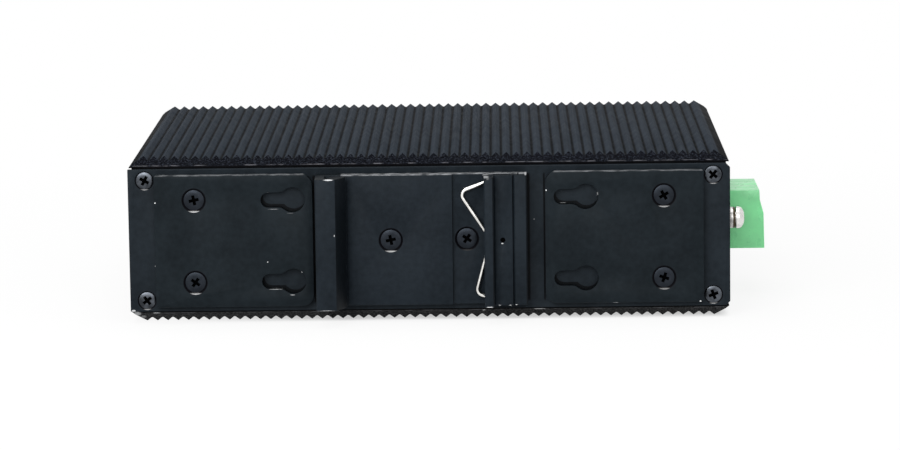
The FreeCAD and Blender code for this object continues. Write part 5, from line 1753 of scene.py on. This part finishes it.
    def wire(self, name: str, path: Sequence[Spot], leg: Spot) -> Piece:
        """Draws round wire along a path, with a leg that goes down into the base.

        Args:
            name: The piece's name.
            path: The wire's centre line in X and Z, from the leg to the loop.
            leg: Where the leg stands.

        Returns:
            The wire.
        """
        bend, depth = 0.35, 1.6
        start = Vector(path[0])
        first = start + (Vector(path[1]) - start).normalized() * bend
        between = start + (first - start) * 0.3
        down = [(leg[0], self.wire_y + depth, leg[1]), (leg[0], self.wire_y + bend, leg[1]),
                (between.x, self.wire_y + 0.1, between.y), (first.x, self.wire_y, first.y)]
        spots = down + [(x, self.wire_y, z) for x, z in path[1:]]
        return round_wire(trace_line(name, [Vector(spot) * MM for spot in spots]), self.wire_r, 5)

    def spring(self) -> tuple[Piece, Piece]:
        """Draws the spring in two halves that meet behind the pin.

        Returns:
            The upper and the lower half.
        """
        loop = self.pin_r + self.wire_gap + self.wire_r
        top, low = self.pin_z + loop, self.pin_z - loop
        upper = self.rounded([self.legs[0], (7.15, 11.3), (13.8, top), (self.pin_x, top)], self.wire_bend)
        upper += arc(self.pin_x, self.pin_z, loop, 90, 0, 12)[1:]
        lower = self.rounded([self.legs[1], (11.05, -13.15), (14.3, low), (self.pin_x, low)], self.wire_bend)
        lower += arc(self.pin_x, self.pin_z, loop, -90, 0, 12)[1:]
        return self.wire("spring_upper", upper, self.legs[0]), self.wire("spring_lower", lower, self.legs[1])

    def build(self) -> None:
        """Builds the whole clip; the spring's halves are baked in place and set on no body."""
        place_piece(self.base(), "case", self.look.clip, ["rail_clip_base"])
        place_piece(self.jaw(), "slider", self.look.clip, ["rail_clip_slider"])
        # The steel pin takes the near-black finish as painted shade, for it sits deep in its slot.
        place_piece(self.pin(), "slider", self.look.recess, ["rail_clip_pin"])
        for half, side in zip(self.spring(), (1, -1)):
            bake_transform(half)
            place_piece(half, "", self.look.wire_steel, ["rail_clip_spring"])


@dataclass
class EarthPoint:
    """The earth screw with its three washers on the right end panel.

    Attributes:
        look: The finishes.
        y: Its place along Y, in millimetres.
        z: Its place along Z.
        wall: The panel's outer face along X.
    """

    look: Look
    y: float = 26.2
    z: float = 0.5
    wall: float = 71.2

    def ring(self, name: str, inner: float, outer: float, thick: float, start: float) -> Piece:
        """Turns a flat ring.

        Args:
            name: The piece's name.
            inner: Inner radius.
            outer: Outer radius.
            thick: Thickness along X.
            start: Its first face, counted from the wall.

        Returns:
            The ring.
        """
        edge = 0.08
        profile = [(inner, edge), (inner, thick - edge), (inner + edge, thick), (outer - edge, thick),
                   (outer, thick - edge), (outer, edge), (outer - edge, 0), (inner + edge, 0), (inner, edge)]
        return smooth(turn(name, profile, Axis.X, (self.wall + start, self.y, self.z), 44))

    def toothed(self) -> Piece:
        """Models the toothed washer: a ring whose outer teeth are twisted.

        Returns:
            The washer.
        """
        count, twist, half = 10, 28, 0.42
        low, high = self.wall + 0.25, self.wall + 0.65
        teeth = [self.ring("toothed_ring", inner=1.6, outer=2.45, thick=0.5, start=0.2)]
        for index in range(count):
            tooth = block("tooth", (low, self.y - half, self.z + 2.35), (high, self.y + half, self.z + 2.95))
            with whole(tooth):
                rotate(twist, Axis.Z, ((low + high) / 2, self.y, self.z))
                rotate(360 / count * index, Axis.X, (self.wall, self.y, self.z))
            teeth.append(soften(tooth, 0.05, 1))
        return join(teeth, "toothed_washer")

    def split(self) -> Piece:
        """Models the split washer, one rising turn of square wire.

        Returns:
            The washer.
        """
        start, rise, inner, outer, thick = self.wall + 1.5, 0.2, 1.65, 2.6, 1.35
        steps, open_turn = 44, 344
        outline = [(inner, 0.0), (outer, 0.0), (outer, thick), (inner, thick)]
        spots = [Vector((start + up, self.y + radius, self.z)) * MM for radius, up in outline]
        washer = trace_line("split_washer", spots)
        with whole(washer):
            bpy.ops.mesh.edge_face_add()
            for _ in range(steps):
                bpy.ops.mesh.extrude_region_move(TRANSFORM_OT_translate={"value": Vector((rise / steps, 0, 0)) * MM})
                rotate(-open_turn / steps, Axis.X, (self.wall, self.y, self.z))
            face_outwards()
        return soften(washer, 0.07, 2, 50.0)

    def screw(self, screws: Screws) -> Piece:
        """Models the pan head screw.

        Args:
            screws: Makes the cross recess.

        Returns:
            The screw.
        """
        seat, head = self.wall + 3.1, 2.1
        profile = [(0, head), (1.2, 2.05), (2.0, 1.8), (2.5, 1.35), (2.7, 0.8), (2.7, 0.1), (2.6, 0.0), (1.5, 0.0),
                   (1.5, -7.6), (1.2, -8.0), (0, -8.0)]
        screw = turn("earth_pan_screw", profile, Axis.X, (seat, self.y, self.z), 44)
        recess = screws.recess(size=3.1, depth=1.2)
        with whole(recess):
            rotate(24, Axis.Y)
            rotate(-90, Axis.Z)
        points_out = max(point.co.x for point in recess.data.vertices) > 0.6 * MM
        with whole(recess):
            if points_out:
                rotate(180, Axis.Z)
            move((seat + head, self.y, self.z))
        carve(screw, [recess])
        return smooth(screw, 35.0)

    def build(self, screws: Screws) -> None:
        """Builds the earth point.

        Args:
            screws: Makes the cross recess.
        """
        steel = self.look.bright_steel
        place_piece(self.screw(screws), "case", steel, ["ground_screw"])
        place_piece(self.split(), "case", self.look.stained_steel, ["ground_spring_washer"])
        flat = self.ring("flat_washer", inner=1.6, outer=3.2, thick=0.6, start=0.9)
        place_piece(flat, "case", steel, ["ground_flat_washer"])
        place_piece(self.toothed(), "case", steel, ["ground_toothed_washer"])


@dataclass
class SupplyTerminals:
    """The green plug with its wire entries, wells and clamp screws.

    Attributes:
        look: The finishes.
        start: The plug's first face along Y, in millimetres.
        pitch: The poles' pitch.
        poles: How many poles it has.
        wall: The plug's inner face along X.
        outer: Its outer face along X.
        base: Its underside along Z.
        height: Its height.
        tongue: How far its foot reaches into the case.
        well_x: Distance of the wells' axes from the inner face.
    """

    look: Look
    start: float = 34.2
    pitch: float = 5.08
    poles: int = 4
    wall: float = 71.4
    outer: float = 81.84
    base: float = -8.43
    height: float = 14.28
    tongue: float = 8.0
    well_x: float = 3.4

    def middles(self) -> list[float]:
        """Places of the poles along Y."""
        return [self.start + (index + 0.5) * self.pitch for index in range(self.poles)]

    def plug(self) -> Piece:
        """Models the plug's housing.

        Returns:
            The housing.
        """
        wall, outer, base, top, end = self.wall, self.outer, self.base, self.base + self.height, self.wall - self.tongue
        foot, roof = base + 0.25, base + 9.45
        outline = [(wall, base), (outer, base), (outer - 0.2, base + 8.7), (outer - 1.1, base + 11.95),
                   (outer - 1.2, top), (wall, top), (wall, roof), (end, roof), (end, foot), (wall, foot)]
        length = self.pitch * self.poles
        plug = trace("terminal_housing", outline, Axis.Y, self.start, self.start + length)
        cutters, half, low, high, flare = [], 1.7, -5.0, -1.8, 1.24
        for y in self.middles():
            entry = block("entry", (outer - 9.0, y - half, low), (outer + 1.0, y + half, high))
            pick(entry, lambda spot: spot.x > outer)
            with editing(entry):
                middle = Vector((outer + 1.0, y, (low + high) / 2)) * MM
                bpy.ops.transform.resize(value=(1.0, flare, flare), center_override=middle)
            cutters += [entry, rod("well", 1.8, -2, 3.4, Axis.Z, (wall + self.well_x, y, base), 32)]
        for number in range(1, self.poles):
            y = self.start + number * self.pitch
            cutters.append(block("groove", (wall + 1.2, y - 0.05, base + 11.0), (outer + 1, y + 0.05, base + 16)))
        for cutter in cutters:
            carve(plug, [cutter])
        return soften(plug, 0.22, 3)

    def clamp_screws(self) -> Piece:
        """Models the slotted clamp screws in their wells.

        Returns:
            The screws.
        """
        profile = [(0, 0.5), (1.5, 0.5), (1.7, 0.7), (1.7, 1.7), (1.1, 1.8), (1.1, 4.2), (0, 4.2)]
        made = []
        for y, angle in zip(self.middles(), (15, 70, 100, 40)):
            middle = (self.wall + self.well_x, y, self.base)
            screw = turn("clamp_screw", profile, Axis.Z, middle, 32)
            slot = block("slot", (self.wall + 1.0, y - 0.25, self.base), (self.wall + 6.0, y + 0.25, self.base + 1.1))
            with whole(slot):
                rotate(angle, Axis.Z, middle)
            made.append(smooth(carve(screw, [slot]), 35.0))
        return join(made, "terminal_screw_set")

    def build(self) -> None:
        """Builds the plug and dresses the header behind it."""
        place_piece(self.plug(), "case", self.look.green, ["terminal_plug"])
        place_piece(self.clamp_screws(), "case", self.look.bright_steel, ["terminal_clamp_screws"])
        dress_nodes(["terminal_header"], self.look.green)
        dress_nodes(["terminal_clamp_cages", "terminal_header_pins"], self.look.bright_steel)


@dataclass
class NetworkPorts:
    """Five shielded jacks and the status lights beside them.

    Attributes:
        look: The finishes.
        count: How many jacks there are.
        pitch: Their pitch along X, in millimetres.
        width: Width of a jack.
        height: Its height.
        depth: Its depth.
        front: Its face along Y.
        base: The board's top along Z.
        sheet: Thickness of its shield.
        sill: Height of its mouth over the board.
        mouth: Height of its mouth.
        contacts: How many contacts it has.
        contact_pitch: Their pitch.
        status: Places of the status lights along X.
        status_z: Their place along Z.
    """

    look: Look
    count: int = 5
    pitch: float = 19.0
    width: float = 15.9
    height: float = 13.5
    depth: float = 21.3
    front: float = 105.9
    base: float = -9.4
    sheet: float = 0.25
    sill: float = 4.8
    mouth: float = 7.0
    contacts: int = 8
    contact_pitch: float = 1.27
    status: tuple[float, ...] = (50.95, 55.95, 60.95)
    status_z: float = 9.0

    def places(self) -> list[float]:
        """Places of the jacks along X."""
        return [(index - (self.count - 1) / 2) * self.pitch for index in range(self.count)]

    def shield(self) -> Piece:
        """Models one drawn can at the middle, with sprung tongues cut in its top.

        Returns:
            The can.
        """
        half, back = self.width / 2, self.front - self.depth
        can = block("can", (-half, back, self.base), (half, self.front, self.base + self.height))
        pick(can, lambda spot: spot.y > self.front - 0.01, faces=True)
        with editing(can):
            bpy.ops.mesh.inset(thickness=self.sheet * MM)
            bpy.ops.mesh.extrude_region_move(
                TRANSFORM_OT_translate={"value": (0, -(self.depth - self.sheet) * MM, 0)})
        low, high = self.base + self.height - 0.6, self.base + self.height + 0.6
        half_slit, half_tongue = 0.12, 1.1
        cutters = []
        for x in (-4.0, 4.0):
            for side in (-1, 1):
                middle = x + side * half_tongue
                cutters.append(block("slit", (middle - half_slit, self.front - 6.5, low),
                                     (middle + half_slit, self.front - 1.2, high)))
            half = half_tongue + half_slit
            cutters.append(block("slit", (x - half, self.front - 6.7, low), (x + half, self.front - 6.45, high)))
        for cutter in cutters:
            carve(can, [cutter])
        return soften(can, 0.06, 2)

    def contact(self) -> Piece:
        """Models one jack's spring contacts.

        Returns:
            The contacts.
        """
        roof, back = self.base + self.sill + self.mouth, self.front - 12.5
        path = [(back + 0.1, roof - 2.1), (back + 0.9, roof - 2.25), (back + 1.7, roof - 1.95),
                (back + 6.6, roof - 0.45), (back + 7.4, roof - 0.24)]
        wires = []
        for index in range(self.contacts):
            x = (index - (self.contacts - 1) / 2) * self.contact_pitch
            wires.append(round_wire(trace_line("contact", [Vector((x, y, z)) * MM for y, z in path]), 0.22, 2))
        return join(wires, "contacts")

    def lights(self) -> Piece:
        """Models the two small lights in each jack's lower corners.

        Returns:
            The lights.
        """
        made, near, far = [], 4.0, 7.0
        for x in self.places():
            for x0, x1 in ((x - far, x - near), (x + near, x + far)):
                made.append(soften(block("light", (x0, self.front - 6.25, self.base + 0.95),
                                         (x1, self.front - 0.25, self.base + 2.75)), 0.2, 3))
        return join(made, "jack_light_set")

    def pipes(self) -> Piece:
        """Models the status lights' pipes with domed heads.

        Returns:
            The pipes.
        """
        profile = [(0, 1.8), (0.8, 1.72), (1.3, 1.45), (1.5, 1.0), (1.5, -2.4), (0, -2.4)]
        wall, made = 104.2, []
        for x in self.status:
            head = turn("pipe", profile, Axis.Y, (x, wall, self.status_z), 32)
            stem = block("stem", (x - 1.1, wall - 3.6, self.base), (x + 1.1, wall - 1.4, self.status_z - 0.8))
            made += [smooth(head, 50.0), soften(stem, 0.12)]
        return join(made, "status_pipe_set")

    def build(self) -> None:
        """Builds the jacks and the lights."""
        can, contacts = self.shield(), self.contact()
        for number, x in enumerate(self.places(), start=1):
            made = copy_to(can, f"jack_{number}_can", (x, 0, 0))
            place_piece(made, "case", self.look.shield, [f"port_{number}_shield"])
            made = copy_to(contacts, f"jack_{number}_contacts", (x, 0, 0))
            place_piece(made, "case", self.look.gold, [f"port_{number}_contacts"])
            dress_nodes([f"port_{number}_insert"], self.look.jack)
        for used in (can, contacts):
            bpy.data.objects.remove(used, do_unlink=True)
        place_piece(self.lights(), "case", self.look.clear, ["jack_lights"])
        place_piece(self.pipes(), "case", self.look.clear, ["status_light_pipes"])


def dress_inside(look: Look) -> None:
    """Dresses what the closed case hides.

    Args:
        look: The finishes.
    """
    dress_nodes(["main_board"], look.board)
    dress_nodes(["clinch_nuts", "ground_nut", "board_standoffs", "board_screws"], look.bright_steel)
    dress_nodes(["switch_chip", "power_controllers", "port_transformers", "power_inductors"], look.chip)
    dress_nodes(["thermal_pad"], look.pad)
    dress_nodes(["power_transformer"], look.ferrite)
    dress_nodes(["bulk_capacitors"], look.sleeve)


@dataclass(frozen=True)
class Lamp:
    """One soft, square lamp.

    Attributes:
        name: The lamp's name.
        power: Its power, in watts.
        side: The side of its square, in metres.
        place: Its place, in metres.
        aim: The point that it faces.
    """

    name: str
    power: float
    side: float
    place: Triple
    aim: Triple

    def hang(self) -> None:
        """Hangs the lamp."""
        data = bpy.data.lights.new(self.name, "AREA")
        data.energy = self.power
        data.size = self.side
        lamp = bpy.data.objects.new(self.name, data)
        lamp.location = self.place
        lamp.rotation_euler = (Vector(self.aim) - Vector(self.place)).to_track_quat("-Z", "Y").to_euler()
        bpy.context.scene.collection.objects.link(lamp)


@dataclass
class Studio:
    """The pale floor, the soft light and the camera.

    Attributes:
        floor: Height of the floor, in millimetres.
        eye: The camera's place, in millimetres.
        aim: The camera's turn about X, Y and Z, in degrees.
        lens: Its focal length on the sensor, in millimetres.
        sensor: Width of its sensor.
        floor_side: The floor's side, in metres.
        glow: How bright the floor shows near the object and far from it.
        glow_reach: Where the one ends and the other starts, in metres.
        shade: What share of its own light the floor loses under the case.
        shade_x: Where that stretch fades in and out along X, in millimetres.
        shade_y: Where it fades in and out along Y.
        world_light: Strength of the world's light on the object.
        lamps: The lamps.
    """

    floor: float
    eye: Triple = (16.567, -925.18, 147.86)
    aim: Triple = (81.13, 0.75483, 0.59816)
    lens: float = 157.904
    sensor: float = 36.0
    floor_side: float = 6.0
    glow: Spot = (0.88, 1.0)
    glow_reach: Spot = (0.1, 0.3)
    shade: float = 0.4
    shade_x: tuple[Spot, Spot] = ((-62.0, -30.0), (69.0, 72.0))
    shade_y: tuple[Spot, Spot] = ((3.0, 6.0), (100.0, 104.0))
    world_light: float = 0.5
    lamps: tuple[Lamp, ...] = (
        Lamp("overhead", 7.0, 1.0, (-0.1, 0.05, 1.2), (0, 0.05, 0)),
        Lamp("front_left", 2.7, 0.35, (-0.25, -0.55, 0.3), (-0.03, 0, 0)),
        Lamp("front", 2.3, 0.6, (0.12, -0.9, 0.35), (0, 0, 0)))

    def camera(self) -> None:
        """Sets up the camera at the photograph's place."""
        data = bpy.data.cameras.new("camera")
        data.lens = self.lens
        data.sensor_width = self.sensor
        data.clip_start = 0.01
        data.clip_end = 20.0
        camera = bpy.data.objects.new("camera", data)
        camera.location = Vector(self.eye) * MM
        camera.rotation_euler = [math.radians(value) for value in self.aim]
        bpy.context.scene.collection.objects.link(camera)
        bpy.context.scene.camera = camera

    def ground(self) -> None:
        """Lays the floor, which looks white and keeps the object's shadow."""
        deselect()
        bpy.ops.mesh.primitive_plane_add(size=self.floor_side, location=(0, 0, self.floor * MM))
        floor = bpy.context.object
        floor.name = "floor"
        sheet = Sheet("floor_white")
        sheet.set(Base_Color=(0.85, 0.85, 0.85, 1.0), Roughness=0.9, Specular_IOR_Level=0.0)
        glow = sheet.node("ShaderNodeEmission")
        mixer = sheet.node("ShaderNodeMixShader")
        reach = sheet.node("ShaderNodeVectorMath", operation="LENGTH")
        sheet.join(sheet.place, reach.inputs[0])
        white = sheet.span(reach.outputs["Value"], *self.glow_reach, *self.glow)
        sheet.join(sheet.times(sheet.seen(), white, self._left_under(sheet)), mixer.inputs[0])
        sheet.join(sheet.shader.outputs[0], mixer.inputs[1])
        sheet.join(glow.outputs[0], mixer.inputs[2])
        sheet.join(mixer.outputs[0], sheet.find("OUTPUT_MATERIAL").inputs["Surface"])
        floor.data.materials.append(sheet.material)

    def _left_under(self, sheet: Sheet) -> bpy.types.NodeSocket:
        """Gives the share of its own light that the floor keeps, which is less under the case."""
        sides = []
        for axis, (fade_in, fade_out) in ((Axis.X, self.shade_x), (Axis.Y, self.shade_y)):
            sides += [sheet.zone(axis, *fade_in), sheet.zone(axis, *fade_out, 1.0, 0.0)]
        return sheet.math("SUBTRACT", 1.0, sheet.times(*sides, self.shade))

    def world(self) -> None:
        """Makes the world white where it is seen and soft where it lights."""
        world = bpy.data.worlds.new("studio")
        world.use_nodes = True
        nodes = Nodes(world.node_tree)
        back = nodes.find("BACKGROUND")
        back.inputs["Color"].default_value = (1, 1, 1, 1)
        nodes.join(nodes.span(nodes.seen(), 0.0, 1.0, self.world_light, 1.0), back.inputs["Strength"])
        bpy.context.scene.world = world

    def build(self) -> None:
        """Builds the studio."""
        self.camera()
        self.ground()
        self.world()
        for lamp in self.lamps:
            lamp.hang()
        bpy.context.scene.view_settings.view_transform = "Standard"


def main() -> None:
    """Builds the switch and its studio in order."""
    logging.basicConfig(level=logging.INFO, format="%(name)s: %(message)s")
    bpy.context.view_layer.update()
    case = CaseSizes()
    Studio(floor=-case.crest).build()
    look = Look(case)
    ports = NetworkPorts(look)
    screws = Screws(look)
    FinnedCovers(case, look).build()
    Panels(case, look, ports).build()
    WallBrackets(case, look).build()
    RailClip(case, look).build()
    screws.build(case)
    EarthPoint(look).build(screws)
    SupplyTerminals(look).build()
    ports.build()
    dress_inside(look)


if __name__ == "__main__":
    main()
